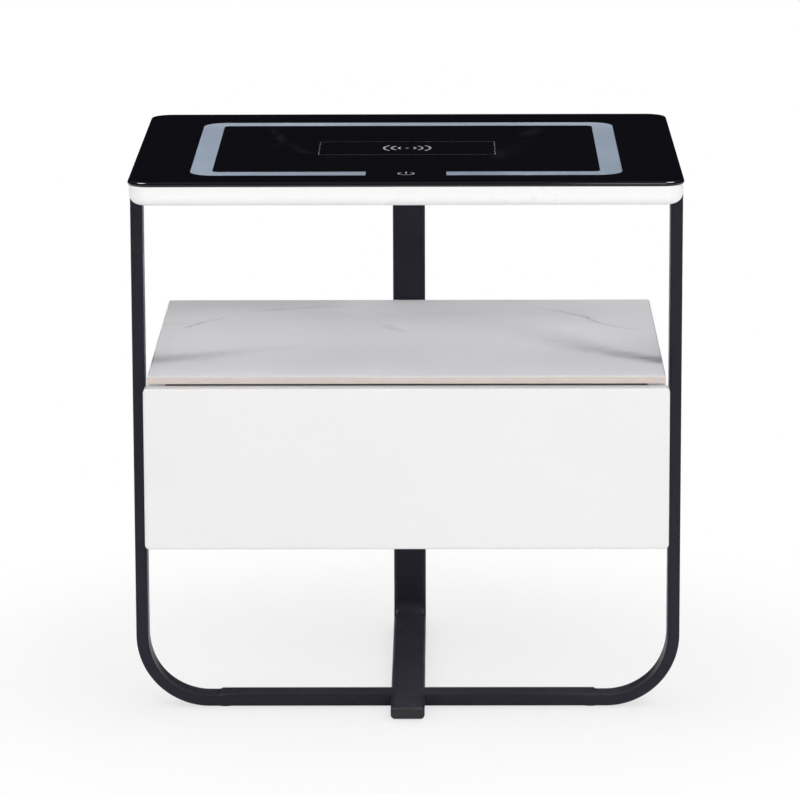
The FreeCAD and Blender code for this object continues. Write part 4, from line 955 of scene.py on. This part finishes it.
def soften_edges(piece, width):
    """Breaks the sharp edges of a CAD piece."""
    weld = piece.modifiers.new("weld", "WELD")
    weld.merge_threshold = SAME_POINT
    edges = piece.modifiers.new("broken_edges", "BEVEL")
    edges.width = width
    edges.segments = EDGE_STEPS
    edges.limit_method = "ANGLE"
    edges.angle_limit = math.radians(EDGE_TURN)
    edges.use_clamp_overlap = True
    normals = piece.modifiers.new("flat_faces", "WEIGHTED_NORMAL")
    normals.weight = FLAT_FACE_WEIGHT
    normals.keep_sharp = False


def join_poles(piece):
    """Joins the doubled points that the mesh of a CAD ball or ball corner has at its poles."""
    weld = piece.modifiers.new("joined_poles", "WELD")
    weld.mode = "CONNECTED"
    weld.merge_threshold = SAME_POINT


def dress_cad_pieces():
    """Gives each CAD piece the finish of its slot, and breaks its edges."""
    for part in frame["record"]["subparts"]:
        name = part["node"]
        slot = part["material_slot"]
        piece = nodes[name]
        piece.data.materials.clear()
        piece.data.materials.append(FINISHES[OWN_FINISH.get(name, slot)])
        if name in WITH_POLES:
            join_poles(piece)
        if piece.hide_render or name in ALREADY_ROUND:
            continue
        if name in PLATES:
            soften_edges(piece, PLATE_EDGE)
        elif slot in SOFT_EDGES:
            soften_edges(piece, SOFT_EDGES[slot])


# Stage: floor, light and camera


def floor_finish():
    """A pale floor whose colour turns into the white of the backdrop further out, for the camera alone."""
    tree, shader = new_finish("pale_floor", Roughness=0.85)
    tone = effect(tree, "cloudy_tone", Scale=3.0, Specks=0.1)
    connect(tree, shader, Base_Color=between(tree, tone, *FLOOR_TONES))
    distance = vector_maths(tree, "LENGTH", own_place(tree), output="Value")
    seen = place(tree, "ShaderNodeLightPath").outputs["Is Camera Ray"]
    share = maths(tree, "MULTIPLY", eased(tree, distance, *FLOOR_FADE, FLOOR_NEAR_WHITE, 1.0), seen)
    white = place(tree, "ShaderNodeEmission", None, Color=WHITE, Strength=1.0)
    mixed = place(tree, "ShaderNodeMixShader")
    feed(tree, mixed.inputs[0], share)
    feed(tree, mixed.inputs[1], shader.outputs["BSDF"])
    feed(tree, mixed.inputs[2], white.outputs["Emission"])
    tree.links.new(mixed.outputs["Shader"], tree.nodes["Material Output"].inputs["Surface"])


def make_floor():
    """The floor, which keeps the shadow near the stand."""
    bpy.ops.mesh.primitive_plane_add(size=2 * FLOOR_HALF, location=(0.0, 0.0, -FLOOR_DROP))
    floor = bpy.context.object
    floor.name = "floor"
    floor_finish()
    floor.data.materials.append(FINISHES["pale_floor"])


def make_room_light():
    """Soft light from all round, a white backdrop, and for the gloss a dim room with two lamps overhead."""
    world = bpy.data.worlds.new("studio")
    bpy.context.scene.world = world
    world.use_nodes = True
    tree = world.node_tree
    path = place(tree, "ShaderNodeLightPath").outputs
    direction = place(tree, "ShaderNodeTexCoord").outputs["Generated"]
    parts = axes(tree, direction)
    gloss = eased(tree, parts["Z"], *ROOM_GLOSS_SPAN, *ROOM_GLOSS)
    gloss = maths(tree, "ADD", gloss, eased(tree, parts["Y"], *FRONT_GLOSS_SPAN, 0.0, FRONT_GLOSS))
    for lamp in GLINT_PLACES:
        aim = vector_maths(tree, "DOT_PRODUCT", direction, Vector(lamp).normalized(), output="Value")
        glint = eased(tree, aim, *[math.cos(turn) for turn in GLINT_SPREAD], 0.0, GLINT_LIGHT)
        gloss = maths(tree, "ADD", gloss, glint)
    soft = eased(tree, parts["Y"], *FRONT_TO_BACK_SPAN, FRONT_LIGHT, BACK_LIGHT)
    soft = maths(tree, "MULTIPLY", soft, eased(tree, parts["Z"], *OVERHEAD_SPAN, 1.0, OVERHEAD_SHARE))
    lit = maths(tree, "MULTIPLY_ADD", path["Is Glossy Ray"], maths(tree, "SUBTRACT", gloss, soft), soft)
    strength = maths(tree, "MULTIPLY_ADD", path["Is Camera Ray"], maths(tree, "SUBTRACT", 1.0, lit), lit)
    connect(tree, tree.nodes["Background"], Color=WHITE, Strength=strength)


def make_softbox():
    """One large soft lamp to the right of the camera."""
    lamp = bpy.data.lights.new("softbox", "AREA")
    lamp.size = SOFTBOX_SIDE
    lamp.energy = SOFTBOX_WATTS
    holder = bpy.data.objects.new("softbox", lamp)
    bpy.context.scene.collection.objects.link(holder)
    holder.location = SOFTBOX_PLACE
    holder.rotation_mode = "QUATERNION"
    holder.rotation_quaternion = (Vector(SOFTBOX_AIM) - Vector(SOFTBOX_PLACE)).to_track_quat("-Z", "Y")


def make_camera():
    """The camera at the photograph's viewing angle."""
    data = bpy.data.cameras.new("camera")
    data.lens = CAMERA_LENS
    data.sensor_width = CAMERA_SENSOR
    data.clip_end = CAMERA_FAR
    camera = bpy.data.objects.new("camera", data)
    bpy.context.scene.collection.objects.link(camera)
    turn = (
        Matrix.Rotation(CAMERA_YAW, 4, "Z")
        @ Matrix.Rotation(math.pi / 2 - CAMERA_PITCH, 4, "X")
        @ Matrix.Rotation(CAMERA_ROLL, 4, "Z")
    )
    camera.matrix_world = Matrix.Translation(CAMERA_PLACE) @ turn
    bpy.context.scene.camera = camera


make_finishes()
make_glass_sheet()
make_bent_frame()
dress_cad_pieces()
make_floor()
make_room_light()
make_softbox()
make_camera()
bpy.context.scene.view_settings.view_transform = "Standard"
